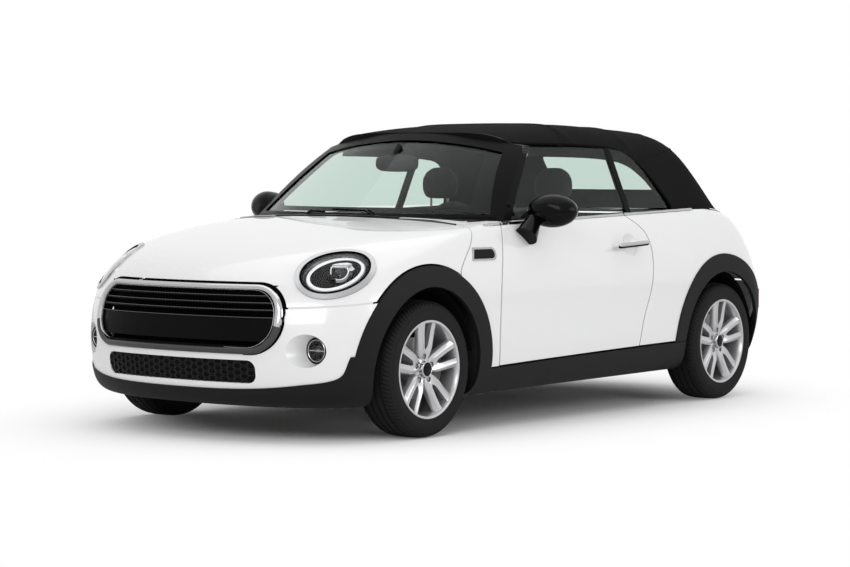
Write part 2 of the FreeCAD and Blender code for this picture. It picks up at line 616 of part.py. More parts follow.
aperture = aperture.extrude(Vector(0, LENGTH, 0))
cowl = skin_shell.common(crown_prism(CROWN_CUT_MIDDLE + GAP, CROWN_CUT_MIDDLE + 130 + GAP, 0))
cowl = cowl.common(box(-COWL_HALF, COWL_HALF, NOSE, 0, BELT - 120, OVER)).cut(wing).cut(mirrored(wing))
windscreen_frame = frame_slab.cut(aperture).fuse(cowl)
windscreen = screen_slab(12, 12 + size("glass_thickness") * 2).common(aperture)

# Side glass: a leaning pane along the whole cabin, split at the middle pillar strip.
def pane_region(from_z, to_z):
    """The leaning slab that all side panes are cut from, on the left side."""
    thick = size("glass_thickness")
    x0, x1 = pane_x(from_z), pane_x(to_z)
    wire = Part.makePolygon([Vector(x0, NOSE, from_z), Vector(x1, NOSE, to_z), Vector(x1 - thick, NOSE, to_z),
                             Vector(x0 - thick, NOSE, from_z), Vector(x0, NOSE, from_z)])
    return Part.Face(wire).extrude(Vector(0, LENGTH, 0))


glass_top = [(FRONT_AXLE + 1030, ROOF - 112), (FRONT_AXLE + 1391, ROOF - 111), (REAR_AXLE - 779, ROOF - 114),
             (REAR_AXLE - 612, ROOF - 131), (REAR_AXLE - 486, ROOF - 204), (REAR_AXLE - 402, ROOF - 313),
             (REAR_AXLE - 350, BELT + 45)]
pane_edges = [smooth(glass_top)] + straight([
    glass_top[-1], (glass_top[-1][0], BELT - 20), (FRONT_AXLE + 670, BELT - 20), glass_top[0]])
pane_outline = side_region(pane_edges, 0, WIDE)
B_STRIP = (REAR_AXLE - 770, REAR_AXLE - 730)
pane = pane_region(BELT - 20, OVER - 100).common(pane_outline)
door_glass = pane.common(box(0, WIDE, NOSE, B_STRIP[0], UNDER, OVER))
quarter_glass = pane.common(box(0, WIDE, B_STRIP[1], TAIL, UNDER, OVER))
screen_room = screen_slab(-GAP, 60 + GAP)
door_glass = door_glass.cut(screen_room).cut(box(0, WIDE, NOSE, FRONT_AXLE + 640, UNDER, OVER))
door_glass = door_glass.common(strip([(FRONT_AXLE, BELT + 14), (0, BELT + 22), (REAR_AXLE, BELT + 36)], OVER))
quarter_glass = quarter_glass.common(strip([(FRONT_AXLE, BELT + 16), (0, BELT + 22), (REAR_AXLE, BELT + 36)], OVER))

# Fabric roof: rows of control points across the car, from the header to the rear deck.
# Row: place of its edge and middle along the car, half width at the belt, edge height, middle height, corner power.
ROOF_ROWS = (
    (FRONT_AXLE + 1034, FRONT_AXLE + 925, 746, BELT - 10, ROOF - 45, 6.0, LEAN),
    (FRONT_AXLE + 1190, FRONT_AXLE + 1130, 746, BELT - 8, ROOF - 17, 6.0, LEAN),
    (FRONT_AXLE + 1500, FRONT_AXLE + 1500, 746, BELT, ROOF + 11, 6.0, LEAN),
    (REAR_AXLE - 740, REAR_AXLE - 740, 746, BELT + 8, ROOF + 13, 6.0, LEAN),
    (REAR_AXLE - 350, REAR_AXLE - 350, 744, BELT + 15, ROOF - 4, 5.5, LEAN),
    (REAR_AXLE - 90, REAR_AXLE - 20, 742, BELT + 20, ROOF - 10, 5.0, 0.38),
    (REAR_AXLE - 10, REAR_AXLE + 60, 738, BELT + 21, ROOF - 108, 4.5, 0.36),
    (REAR_AXLE + 85, REAR_AXLE + 180, 724, BELT + 21, ROOF - 258, 4.0, 0.34),
    (REAR_AXLE + 172, REAR_AXLE + 306, 700, BELT + 12, BELT + 24, 3.5, 0.3),
)
ROOF_BOW = 2.5
ROOF_ANGLES = (0, 12, 28, 45, 60, 72, 81, 90)


def roof_net(inset, spill):
    """Control points of the roof, moved inwards by a thickness and lengthened at its open ends."""
    net = []
    ends = {0: -spill, len(ROOF_ROWS) - 1: spill}
    for count, (edge_y, middle_y, half, low, high, power, lean) in enumerate(ROOF_ROWS):
        edge_y += ends.get(count, 0)
        middle_y += ends.get(count, 0)
        low -= spill
        left = []
        for angle in ROOF_ANGLES:
            sine, cosine = math.sin(math.radians(angle)), math.cos(math.radians(angle))
            if angle == 90:
                cosine = 0.0
            up, across = sine ** (2 / power), cosine ** (2 / power)
            z = low + (high - inset - low) * up
            x = (half - inset - (z - low) * lean) * across
            left.append(Vector(x, edge_y + (middle_y - edge_y) * (1 - across**ROOF_BOW), z))
        net.append(left + [Vector(-p.x, p.y, p.z) for p in left[-2::-1]])
    return net


def roof_shell(inset, spill=0):
    """A closed solid under the roof's surface, moved inwards by a thickness."""
    surface = patch_surface(roof_net(inset, spill))
    top = surface.toShape()
    u0, u1, v0, v1 = surface.bounds()
    front, rear = surface.uIso(u0).toShape(), surface.uIso(u1).toShape()
    left, right = surface.vIso(v0).toShape(), surface.vIso(v1).toShape()
    faces = [top, Part.makeRuledSurface(left, right)]
    for end, v_start, v_end in ((front, v0, v1), (rear, v0, v1)):
        ends = [v.Point for v in end.Vertexes]
        faces.append(Part.makeRuledSurface(end, Part.makeLine(ends[0], ends[-1])))
    shell = Part.makeShell(faces)
    shell.sewShape()
    return facing_out(Part.makeSolid(shell))


roof_outer = roof_shell(0)
roof_inner = roof_shell(size("roof_thickness"), 6)
soft_top = roof_outer.cut(roof_inner).cut(screen_slab(-100, 61))
ROOF_SEAL = 6
window_line = moved(glass_top, 0, ROOF_SEAL)
window_edges = [smooth(window_line)] + straight([
    window_line[-1], (window_line[-1][0] + ROOF_SEAL, BELT + 30), (window_line[-1][0] + ROOF_SEAL, BELT - 60),
    (FRONT_AXLE + 600, BELT - 60), (FRONT_AXLE + 600, BELT), window_line[0]])
window_cut = side_region(window_edges, 300, WIDE)
soft_top = soft_top.cut(window_cut).cut(mirrored(window_cut))
REAR_WINDOW_HALF = 370
rear_window_hole = Part.makeBox(2 * REAR_WINDOW_HALF, 700, 215, Vector(-REAR_WINDOW_HALF, REAR_AXLE - 100, BELT + 115))
rear_window_hole = rear_window_hole.makeFillet(
    60, [e for e in rear_window_hole.Edges if abs(e.tangentAt(e.FirstParameter).y) > 0.99])
soft_top = soft_top.cut(rear_window_hole)
rear_window = roof_shell(8).cut(roof_shell(16, 6)).common(rear_window_hole)
quarter_glass = quarter_glass.cut(quarter)
for low in (0, GAP):
    door_panel = door_panel.cut(screen_room.translated(Vector(0, 0, -low)))
door_glass = door_glass.cut(door_panel)

# Door mirrors: a rounded housing, swept back towards its tip, on a round foot on the door's shoulder.
MIRROR_HALF = 120
MIRROR_SWEEP = 20
MIRROR_MIDDLE = Vector(size("mirror_reach") - MIRROR_HALF * math.cos(math.radians(MIRROR_SWEEP)), FRONT_AXLE + 858,
                       BELT + 26)
HOUSING_SECTIONS = ((-58, 34, 22), (-52, 62, 42), (-34, 96, 62), (-6, 118, 76), (22, MIRROR_HALF, 77), (44, 117, 74))
housing_rings = []
for along, half_across, half_up in HOUSING_SECTIONS:
    ring = Part.Ellipse(Vector(half_across, 0, 0), Vector(0, half_up, 0), Vector(0, 0, 0)).toShape()
    ring.rotate(Vector(0, 0, 0), Vector(1, 0, 0), 90)
    ring.translate(Vector(0, along, 0))
    ring.rotate(Vector(0, 0, 0), Vector(0, 0, 1), MIRROR_SWEEP)
    ring.translate(MIRROR_MIDDLE)
    housing_rings.append(Part.Wire(ring))
housing = facing_out(Part.makeLoft(housing_rings, True, False))
FOOT_LOW = Vector(HALF_WIDTH - 28, FRONT_AXLE + 738, BELT - 92)
FOOT_HIGH = Vector(HALF_WIDTH - 34, FRONT_AXLE + 822, BELT - 5)
foot_way = (FOOT_HIGH - FOOT_LOW).normalize()
foot = Part.makeCone(56, 31, (FOOT_HIGH - FOOT_LOW).Length, FOOT_LOW, foot_way)
mirror = housing.fuse(foot).cut(door_panel)
mirror = max(mirror.Solids, key=lambda solid: solid.Volume)

# Door handle: a bar on two short feet over a round finger scoop in the door.
HANDLE_X = HALF_WIDTH + 16
HANDLE_FRONT = Vector(HANDLE_X, REAR_AXLE - 1027, rise(0.815))
HANDLE_REAR = Vector(HANDLE_X, REAR_AXLE - 778, rise(0.829))
HANDLE_RADIUS = 9
SCOOP_RADIUS, SCOOP_DEPTH = 60, 15
SCOOP_SKIN = Vector(HALF_WIDTH - 29, REAR_AXLE - 870, rise(0.815))
scoop_ball = (SCOOP_RADIUS**2 + SCOOP_DEPTH**2) / (2 * SCOOP_DEPTH)
scoop_way = Vector(0.958, 0, 0.287)
scoop = Part.makeSphere(scoop_ball, SCOOP_SKIN + scoop_way * (scoop_ball - SCOOP_DEPTH))
handle_way = HANDLE_REAR - HANDLE_FRONT
handle_bar = Part.makeCylinder(HANDLE_RADIUS, handle_way.Length, HANDLE_FRONT, handle_way)
handle_feet = [Part.makeCylinder(HANDLE_RADIUS - 1, 70, HANDLE_FRONT + handle_way * share - Vector(70, 0, 0),
                                 Vector(1, 0, 0)) for share in (0.04, 0.94)]
door = door_panel.cut(scoop).multiFuse([handle_bar] + handle_feet)

rear_body = quarter.multiFuse([deck, mirrored(quarter)])
keep("quarter_panels", rear_body)
keep("front_wings", both_sides(wing.Solids[0]))
keep("bonnet", bonnet)
keep("front_bumper", front_bumper)
keep("rear_bumper", rear_bumper)
keep("tailgate", tailgate)
keep("skirts", skirts)
keep("arch_trims", arch_trims)
keep("wheel_liners", wheel_liners)
keep("grille_frame", grille_frame)
keep("grilles", Part.makeCompound(slats.Solids + intake.Solids))
keep("headlamps", both_sides(lamp_body.cut(lamp_lens).Solids[0]))
keep("lamp_lenses", both_sides(lamp_lens.Solids[0]))
keep("lamp_rings", both_sides(lamp_ring.cut(bonnet).Solids[0]))
keep("fog_lamps", both_sides(fog_lamp))
keep("tail_lamps", both_sides(tail_lamp.Solids[0]))
keep("windscreen_frame", windscreen_frame)
keep("windscreen", windscreen)
keep("soft_top", max(soft_top.cut(rear_body).Solids, key=lambda solid: solid.Volume))
keep("rear_glass", Part.makeCompound(rear_window.Solids + quarter_glass.Solids + mirrored(quarter_glass).Solids))
keep("door_left", door)
keep("door_right", mirrored(door))
keep("door_glass_left", door_glass)
keep("door_glass_right", mirrored(door_glass))
keep("mirror_left", mirror)
keep("mirror_right", mirrored(mirror))

# Sketched sub-parts: every corner of a profile is bound to the sheet.
ROLES = {"side": "YZ_Plane", "front": "XZ_Plane", "top": "XY_Plane"}


def new_body(name):
    """An empty body whose label is its node's name."""
    body = doc.addObject("PartDesign::Body", name)
    body.Label = name
    PIECES[name] = body
    return body


def sketch_on(body, name, view):
    """A sketch on one of the body's own origin planes."""
    sketch = body.newObject("Sketcher::SketchObject", name)
    plane = [f for f in body.Origin.OriginFeatures if f.Role == ROLES[view]][0]
    sketch.AttachmentSupport = [(plane, "")]
    sketch.MapMode = "FlatFace"
    return sketch


def closed_profile(sketch, corners):
    """Straight edges through corners given as pairs of expressions over the sheet."""
    places = [(float(sheet.evalExpression(a)), float(sheet.evalExpression(b))) for a, b in corners]
    base = sketch.GeometryCount
    count = len(places)
    for k in range(count):
        start, stop = places[k], places[(k + 1) % count]
        sketch.addGeometry(Part.LineSegment(Vector(start[0], start[1], 0), Vector(stop[0], stop[1], 0)))
    for k in range(count):
        sketch.addConstraint(Sketcher.Constraint("Coincident", base + k, 2, base + (k + 1) % count, 1))
    for k, (across, up) in enumerate(corners):
        for kind, value, text in (("DistanceX", places[k][0], across), ("DistanceY", places[k][1], up)):
            index = sketch.addConstraint(Sketcher.Constraint(kind, -1, 1, base + k, 1, value))
            sketch.setExpression(f"Constraints[{index}]", text)


def pad(body, sketch, length, symmetric=True):
    """A pad of a sketch whose length follows an expression."""
    feature = body.newObject("PartDesign::Pad", sketch.Name + "_pad")
    feature.Profile = sketch
    feature.setExpression("Length", length)
    if symmetric:
        feature.Midplane = True
    body.Tip = feature
    return feature


def revolve(body, sketch):
    """A full turn of a sketch about its horizontal axis."""
    feature = body.newObject("PartDesign::Revolution", sketch.Name + "_turn")
    feature.Profile = sketch
    feature.ReferenceAxis = (sketch, ["H_Axis"])
    feature.Angle = 360
    body.Tip = feature
    return feature


def place(body, x, y, z, turned=False):
    """Puts a body in the car by expressions over the sheet, and turns it to face the other side if asked."""
    if turned:
        body.Placement = Placement(Vector(), Rotation(Vector(0, 0, 1), 180))
    for axis, text in zip("xyz", (x, y, z)):
        body.setExpression(f".Placement.Base.{axis}", text)


CORNERS = {
    "front_left": (1, "front"), "front_right": (-1, "front"), "rear_left": (1, "rear"), "rear_right": (-1, "rear"),
}
AXLE_PLACE = {
    "front": "sizes.front_overhang - (sizes.front_overhang + sizes.wheelbase + sizes.rear_overhang) / 2",
    "rear": "(sizes.front_overhang + sizes.wheelbase + sizes.rear_overhang) / 2 - sizes.rear_overhang",
}


# Tyres: a bead seat on the rim, leaning walls, sloping shoulders and a flat tread, as flat bands round the wheel.
TYRE_BANDS = 72
TYRE_HALF = size("tyre_width") / 2
BEAD = size("rim_radius") - 8
TYRE_SECTION = ((TYRE_HALF - 6, BEAD), (TYRE_HALF, AXLE_HEIGHT - 45), (TYRE_HALF - 4, AXLE_HEIGHT - 18),
                (TYRE_HALF - 24, AXLE_HEIGHT))


def banded_ring(x, radius):
    """A ring of flat bands about the X axis, one of its corners straight down."""
    corners = [Vector(x, radius * math.sin(2 * math.pi * k / TYRE_BANDS), -radius * math.cos(2 * math.pi * k / TYRE_BANDS))
               for k in range(TYRE_BANDS)]
    return Part.makePolygon(corners + corners[:1])


def tyre(corner):
    """One tyre on its rim, open in the middle."""
    side, axle = CORNERS[corner]
    rings = [banded_ring(-x, radius) for x, radius in TYRE_SECTION]
    rings += [banded_ring(x, radius) for x, radius in reversed(TYRE_SECTION)]
    solid = facing_out(Part.makeLoft(rings, True, True))
    bore_radius = BEAD / math.cos(math.pi / TYRE_BANDS)
    bore = Part.Face(banded_ring(-TYRE_HALF, bore_radius)).extrude(Vector(2 * TYRE_HALF, 0, 0))
    axle_y = FRONT_AXLE if axle == "front" else REAR_AXLE
    return keep(f"tyre_{corner}", solid.cut(bore), Placement(Vector(side * WHEEL_PLANE, axle_y, AXLE_HEIGHT), Rotation()))


# Windows between the spokes: middle angle, half angle inside and outside, inner radius.
SPOKE_WINDOWS = ((90, 7.2, 7.2, "sizes.rim_radius * 0.43"), (126, 4.0, 17.5, "sizes.rim_radius * 0.39"))


def rim(corner):
    """A cast wheel with its brake disc: flanges, barrel, dished face, hub and five pairs of spokes."""
    side, axle = CORNERS[corner]
    body = new_body(f"wheel_{corner}")
    sketch = sketch_on(body, f"rim_section_{corner}", "top")
    half = "sizes.rim_width / 2"
    seat = "sizes.rim_radius - 8 - sizes.running_gap"
    closed_profile(sketch, [
        (f"-{half} + 1", "sizes.rim_radius - 26"), (f"-{half} + 1", seat), (f"{half} - 1", seat),
        (f"{half} - 1", "sizes.rim_radius - 18"), (f"{half} - 14", "sizes.rim_radius - 24"),
        (f"{half} - 22", "120"), (f"{half} - 14", "70"), (f"{half} - 14", "0"),
        ("12", "0"), ("12", "sizes.shaft_radius + sizes.running_gap"),
        ("-sizes.disc_thickness", "sizes.shaft_radius + sizes.running_gap"),
        ("-sizes.disc_thickness", "sizes.disc_radius"), ("0", "sizes.disc_radius"), ("0", "60"), ("30", "60"),
        (f"{half} - 52", "80"), (f"{half} - 50", "120"), (f"{half} - 44", "sizes.rim_radius - 30"),
        (f"-{half} + 10", "sizes.rim_radius - 30"),
    ])
    revolve(body, sketch)
    windows = sketch_on(body, f"rim_windows_{corner}", "side")
    for middle, half_inside, half_outside, inside in SPOKE_WINDOWS:
        corners = []
        for reach, angle in ((inside, -half_inside), ("sizes.rim_radius - 30", -half_outside),
                             ("sizes.rim_radius - 30", half_outside), (inside, half_inside)):
            turn = math.radians(middle + angle)
            corners.append((f"({reach}) * {math.cos(turn):.6f}", f"({reach}) * {math.sin(turn):.6f}"))
        closed_profile(windows, corners)
    pocket = body.newObject("PartDesign::Pocket", f"rim_cut_{corner}")
    pocket.Profile = windows
    pocket.Length = 200
    pocket.Reversed = True
    pattern = body.newObject("PartDesign::PolarPattern", f"rim_spokes_{corner}")
    pattern.Originals = [pocket]
    pattern.Axis = ([f for f in body.Origin.OriginFeatures if f.Role == "X_Axis"][0], [""])
    pattern.Angle = 360
    pattern.Occurrences = 5
    body.Tip = pattern
    sign = "" if side > 0 else "-"
    place(body, f"{sign}sizes.track / 2", AXLE_PLACE[axle], "sizes.tyre_radius", turned=side < 0)
    return body


for corner in CORNERS:
    tyre(corner)
    rim(corner)

# Knuckles: stub shaft in the front wheel, carrier, caliper over the disc, steering arm and leaning strut.
KINGPIN_LOW = Vector(WHEEL_PLANE - 70, FRONT_AXLE, AXLE_HEIGHT - 100)
KINGPIN_HIGH = Vector(WHEEL_PLANE - 190, FRONT_AXLE, AXLE_HEIGHT + 360)
DISC_INNER = WHEEL_PLANE - size("disc_thickness")
shaft = Part.makeCylinder(size("shaft_radius"), 80, Vector(DISC_INNER - 70, FRONT_AXLE, AXLE_HEIGHT), Vector(1, 0, 0))
carrier = Part.makeCylinder(52, 34, Vector(DISC_INNER - 52, FRONT_AXLE, AXLE_HEIGHT), Vector(1, 0, 0))
strut_way = (KINGPIN_HIGH - KINGPIN_LOW).normalize()
BALL_RADIUS = 18
lower_lug = Part.makeCylinder(BALL_RADIUS, 80, KINGPIN_LOW - strut_way * 10, strut_way)
lug_web = box(KINGPIN_LOW.x - 28, DISC_INNER - 24, FRONT_AXLE - 25, FRONT_AXLE + 25, KINGPIN_LOW.z + 28,
              AXLE_HEIGHT - 30)
strut_foot = KINGPIN_LOW + strut_way * 95
strut = Part.makeCylinder(24, (KINGPIN_HIGH - strut_foot).Length, strut_foot, strut_way)
strut_bracket = box(WHEEL_PLANE - 125, DISC_INNER - 20, FRONT_AXLE - 22, FRONT_AXLE + 22, AXLE_HEIGHT - 10,
                    AXLE_HEIGHT + 60)
steering_arm = box(DISC_INNER - 52, DISC_INNER - 30, FRONT_AXLE + 20, FRONT_AXLE + 130, AXLE_HEIGHT - 40,
                   AXLE_HEIGHT - 15)
DISC_R = size("disc_radius")
caliper_block = box(DISC_INNER - 42, WHEEL_PLANE + 30, FRONT_AXLE + 60, FRONT_AXLE + DISC_R + 22, AXLE_HEIGHT - 62,
                    AXLE_HEIGHT + 62)
disc_space = Part.makeCylinder(DISC_R + 6, size("disc_thickness") + 10, Vector(DISC_INNER - 5, FRONT_AXLE, AXLE_HEIGHT),
                               Vector(1, 0, 0))
caliper_ring = Part.makeCylinder(DISC_R + 24, 200, Vector(DISC_INNER - 60, FRONT_AXLE, AXLE_HEIGHT), Vector(1, 0, 0))
caliper = caliper_block.common(caliper_ring).cut(disc_space)
carrier_arm = box(DISC_INNER - 42, DISC_INNER - 24, FRONT_AXLE + 20, FRONT_AXLE + 80, AXLE_HEIGHT - 40, AXLE_HEIGHT + 40)
knuckle = shaft.multiFuse([carrier, lower_lug, lug_web, strut, strut_bracket, steering_arm, caliper, carrier_arm])
keep("knuckle_left", knuckle)
keep("knuckle_right", mirrored(knuckle))

# Front subframe: cross-member, rack tube, lower arms to the kingpins and the strut towers' caps.
FLOOR = size("floor_height")
ARM_GAP = 0.4
ARM_THICK = 24
cross = box(-330, 330, FRONT_AXLE + 60, FRONT_AXLE + 180, AXLE_HEIGHT - 139, AXLE_HEIGHT - 50)
rack = Part.makeCylinder(26, 760, Vector(-380, FRONT_AXLE + 130, AXLE_HEIGHT - 36), Vector(1, 0, 0))
arm_wire = Part.makePolygon([
    Vector(300, FRONT_AXLE + 60, 0), Vector(KINGPIN_LOW.x - 20, FRONT_AXLE - 22, 0),
    Vector(KINGPIN_LOW.x + 20, FRONT_AXLE - 10, 0), Vector(KINGPIN_LOW.x + 20, FRONT_AXLE + 22, 0),
    Vector(300, FRONT_AXLE + 175, 0), Vector(300, FRONT_AXLE + 60, 0)])
lower_arm = Part.Face(arm_wire)
ball_low = KINGPIN_LOW.z - 10 * strut_way.z - BALL_RADIUS * abs(strut_way.x)
lower_arm.translate(Vector(0, 0, ball_low - ARM_GAP - ARM_THICK))
lower_arm = lower_arm.extrude(Vector(0, 0, ARM_THICK))
rails = [box(side * 395 - 35, side * 395 + 35, FRONT_AXLE - 480, FRONT_AXLE + 429, AXLE_HEIGHT + 60,
             AXLE_HEIGHT + 160) for side in (-1, 1)]
drops = [box(side * 358 - 32, side * 358 + 32, FRONT_AXLE + 70, FRONT_AXLE + 170, AXLE_HEIGHT - 100,
             AXLE_HEIGHT + 70) for side in (-1, 1)]
subframe = cross.multiFuse([rack, lower_arm, mirrored(lower_arm)] + rails + drops)
keep("front_subframe", subframe)

# Rear axle: beam, trailing arms and stub shafts.
beam = Part.makeCylinder(45, 2 * (WHEEL_PLANE - 150), Vector(-WHEEL_PLANE + 150, REAR_AXLE, AXLE_HEIGHT), Vector(1, 0, 0))
stubs = Part.makeCylinder(size("shaft_radius"), 2 * (WHEEL_PLANE + 8), Vector(-WHEEL_PLANE - 8, REAR_AXLE, AXLE_HEIGHT),
                          Vector(1, 0, 0))
rear_carriers = [Part.makeCylinder(52, 110, Vector(side * (DISC_INNER - 18), REAR_AXLE, AXLE_HEIGHT),
                                   Vector(-side, 0, 0)) for side in (-1, 1)]
trailing = [box(side * 545 - 30, side * 545 + 30, REAR_AXLE - 385, REAR_AXLE + 20, AXLE_HEIGHT - 30, AXLE_HEIGHT + 20)
            for side in (-1, 1)]
rear_axle = beam.multiFuse([stubs] + rear_carriers + trailing)
keep("rear_axle", rear_axle)

# Floor: one folded sheet from the bulkhead to the boot, with sills, tunnel and wheel clearances.
PLATE = size("floor_thickness")
BULKHEAD_Y = FRONT_AXLE + 430
STEP_Y = REAR_AXLE - 420
BOOT_FLOOR = FLOOR + 290
DECK_END = TAIL - 190
floor_edges = straight([
    (BULKHEAD_Y, BELT - 90), (BULKHEAD_Y, FLOOR + 180), (BULKHEAD_Y + 180, FLOOR), (STEP_Y, FLOOR),
    (STEP_Y + 60, BOOT_FLOOR), (DECK_END, BOOT_FLOOR), (DECK_END, BOOT_FLOOR + PLATE),
    (STEP_Y + 42, BOOT_FLOOR + PLATE), (STEP_Y - 18, FLOOR + PLATE), (BULKHEAD_Y + 190, FLOOR + PLATE),
    (BULKHEAD_Y + PLATE, FLOOR + 192), (BULKHEAD_Y + PLATE, BELT - 90), (BULKHEAD_Y, BELT - 90)])
floor = side_region(floor_edges, -640, 640)
sills = side_region(straight([
    (FRONT_AXLE + 400, FLOOR), (REAR_AXLE - 385, FLOOR), (REAR_AXLE - 385, FLOOR + 105),
    (FRONT_AXLE + 400, FLOOR + 105), (FRONT_AXLE + 400, FLOOR)]), 640, HALF_WIDTH - 125)
hinge_post = box(640, HALF_WIDTH - 60, FRONT_AXLE + 440, FRONT_AXLE + 505, FLOOR, BELT - 60)
tunnel = box(-110, 110, BULKHEAD_Y + 150, STEP_Y, FLOOR + PLATE, FLOOR + 170)
boot_back = box(-640, 640, DECK_END - PLATE, DECK_END, BOOT_FLOOR, BOOT_FLOOR + 130)
floor_pan = floor.multiFuse([sills, mirrored(sills), hinge_post, mirrored(hinge_post), tunnel, boot_back])
wheel_room = axle_cylinder(FRONT_AXLE, LINER_RADIUS + LINER + 2, FRONT_LINER_X - 2, WIDE)
rear_room = axle_cylinder(REAR_AXLE, LINER_RADIUS + LINER + 2, REAR_LINER_X - 2, WIDE)
for room in (wheel_room, mirrored(wheel_room), rear_room, mirrored(rear_room)):
    floor_pan = floor_pan.cut(room)
keep("floor_pan", max(floor_pan.cut(skin_shell).Solids, key=lambda solid: solid.Volume))

# Engine and gearbox as one block.
ENGINE_WIDTH = 640
engine = new_body("engine_block")
engine_sketch = sketch_on(engine, "engine_plan", "side")
closed_profile(engine_sketch, [
    (f"{AXLE_PLACE['front']} - 330", "sizes.floor_height + 120"),
    (f"{AXLE_PLACE['front']} + 40", "sizes.floor_height + 120"),
    (f"{AXLE_PLACE['front']} + 120", "sizes.floor_height + 260"),
    (f"{AXLE_PLACE['front']} + 100", "sizes.floor_height + 540"),
    (f"{AXLE_PLACE['front']} - 280", "sizes.floor_height + 560"),
])
pad(engine, engine_sketch, str(ENGINE_WIDTH))

# Exhaust: a pipe under the tunnel and a silencer ahead of the rear bumper.
pipe = Part.makeCylinder(28, REAR_AXLE - FRONT_AXLE - 250, Vector(0, FRONT_AXLE + 200, FLOOR - 32), Vector(0, 1, 0))
silencer = box(-330, 90, REAR_AXLE + 150, REAR_AXLE + 380, FLOOR + 40, FLOOR + 190)
rise_pipe = Part.makeCylinder(28, 260, Vector(0, REAR_AXLE - 66, FLOOR - 32), Vector(0, 0.86, 0.5))
tail_pipe = Part.makeCylinder(TAIL_PIPE_RADIUS, 185, TAIL_PIPE, Vector(0, 1, 0))
exhaust = pipe.multiFuse([rise_pipe, silencer, tail_pipe])
keep("exhaust", exhaust)

# Cabin: dashboard, front seats, rear bench and steering wheel.
dash_edges = straight([
    (BULKHEAD_Y + PLATE + 2, BELT - 250), (BULKHEAD_Y + PLATE + 2, BELT - 22), (BULKHEAD_Y + 150, BELT + 2),
    (BULKHEAD_Y + 300, BELT - 5), (BULKHEAD_Y + 345, BELT - 60), (BULKHEAD_Y + 300, BELT - 240),
    (BULKHEAD_Y + 220, BELT - 330), (BULKHEAD_Y + PLATE + 2, BELT - 250)])
dashboard = side_region(dash_edges, -610, 610)
WHEEL_HUB = Vector(370, BULKHEAD_Y + 430, BELT - 120)
WHEEL_RAKE = Vector(0, math.cos(math.radians(24)), math.sin(math.radians(24)))
column = Part.makeCylinder(32, 190, WHEEL_HUB - WHEEL_RAKE * 215, WHEEL_RAKE)
dashboard = dashboard.fuse(column)
keep("dashboard", dashboard.cut(screen_slab(-300, 60.5)).cut(cowl).cut(wing).cut(mirrored(wing)))
rim_ring = Part.makeTorus(size("steering_wheel_radius"), 16, WHEEL_HUB, WHEEL_RAKE)
boss = Part.makeCylinder(48, 40, WHEEL_HUB - WHEEL_RAKE * 24.7, WHEEL_RAKE)
spoke_side = Vector(1, 0, 0)
spokes = [Part.makeCylinder(13, size("steering_wheel_radius"), WHEEL_HUB - WHEEL_RAKE * 4, way)
          for way in (spoke_side, spoke_side * -1, WHEEL_RAKE.cross(spoke_side))]
keep("steering_wheel", rim_ring.multiFuse([boss] + spokes))


def seat(width, front_y, base_z, back_y, top_z):
    """A seat seen from the side: cushion, leaning back and headrest, carried across its width."""
    edges = straight([
        (front_y, base_z), (front_y - 10, base_z + 150), (front_y + 60, base_z + 175),
        (back_y - 120, base_z + 140), (back_y - 40, top_z - 60), (back_y + 10, top_z - 40),
        (back_y + 60, top_z - 70), (back_y - 10, base_z), (front_y, base_z)])
    return side_region(edges, -width / 2, width / 2)


SEAT_X = 360
SEAT_WIDTH = size("seat_width")
SEAT_BACK = BULKHEAD_Y + 1185
front_seat = seat(SEAT_WIDTH, BULKHEAD_Y + 560, FLOOR + PLATE + 0.3, SEAT_BACK, BELT + 70)
HEADREST_HALF = 112
headrest = box(-HEADREST_HALF, HEADREST_HALF, SEAT_BACK - 30, SEAT_BACK + 62, BELT + 68, BELT + 236)
headrest = headrest.makeFillet(40, headrest.Edges)
posts = [Part.makeCylinder(7, 80, Vector(side * 55, SEAT_BACK + 10, BELT + 5), Vector(0, 0, 1)) for side in (-1, 1)]
front_seat = front_seat.multiFuse([headrest] + posts)
front_seat.translate(Vector(SEAT_X, 0, 0))
keep("front_seats", both_sides(front_seat))
bench = side_region(straight([
    (STEP_Y - 200, FLOOR + 60), (STEP_Y - 210, FLOOR + 290), (STEP_Y + 120, FLOOR + 300), (STEP_Y + 230, BELT + 20),
    (STEP_Y + 310, BELT + 10), (STEP_Y + 230, BOOT_FLOOR + PLATE + 0.3), (STEP_Y + 44, BOOT_FLOOR + PLATE + 0.3),
    (STEP_Y - 20, FLOOR + 60), (STEP_Y - 200, FLOOR + 60)]), -520, 520)
keep("rear_bench", bench.cut(floor_pan))

doc.recompute()


def check_model():
    """Stops if any object failed or any sub-part's shape is missing or broken."""
    for entry in doc.Objects:
        if "Invalid" in entry.State or "Error" in entry.State:
            raise RuntimeError(f"{entry.Label} failed: {entry.State}")
    for name, feature in PIECES.items():
        if feature.Shape.isNull() or not feature.Shape.isValid():
            raise RuntimeError(f"{name} has no valid shape")
        if not feature.Shape.Solids:
            raise RuntimeError(f"{name} holds no solid")


check_model()
os.makedirs("parts", exist_ok=True)
for name, feature in PIECES.items():
    feature.Shape.exportStep(f"parts/{name}.step")
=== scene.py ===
"""Looks of a compact two-door convertible car: paint, trims, glass, lamps, wheels, roof fabric and cabin.

Metres, +Z up, the car faces -Y and +X is its left side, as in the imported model.
"""
import math

import bmesh
import bpy
import numpy
from mathutils import Matrix, Vector
from mathutils.bvhtree import BVHTree


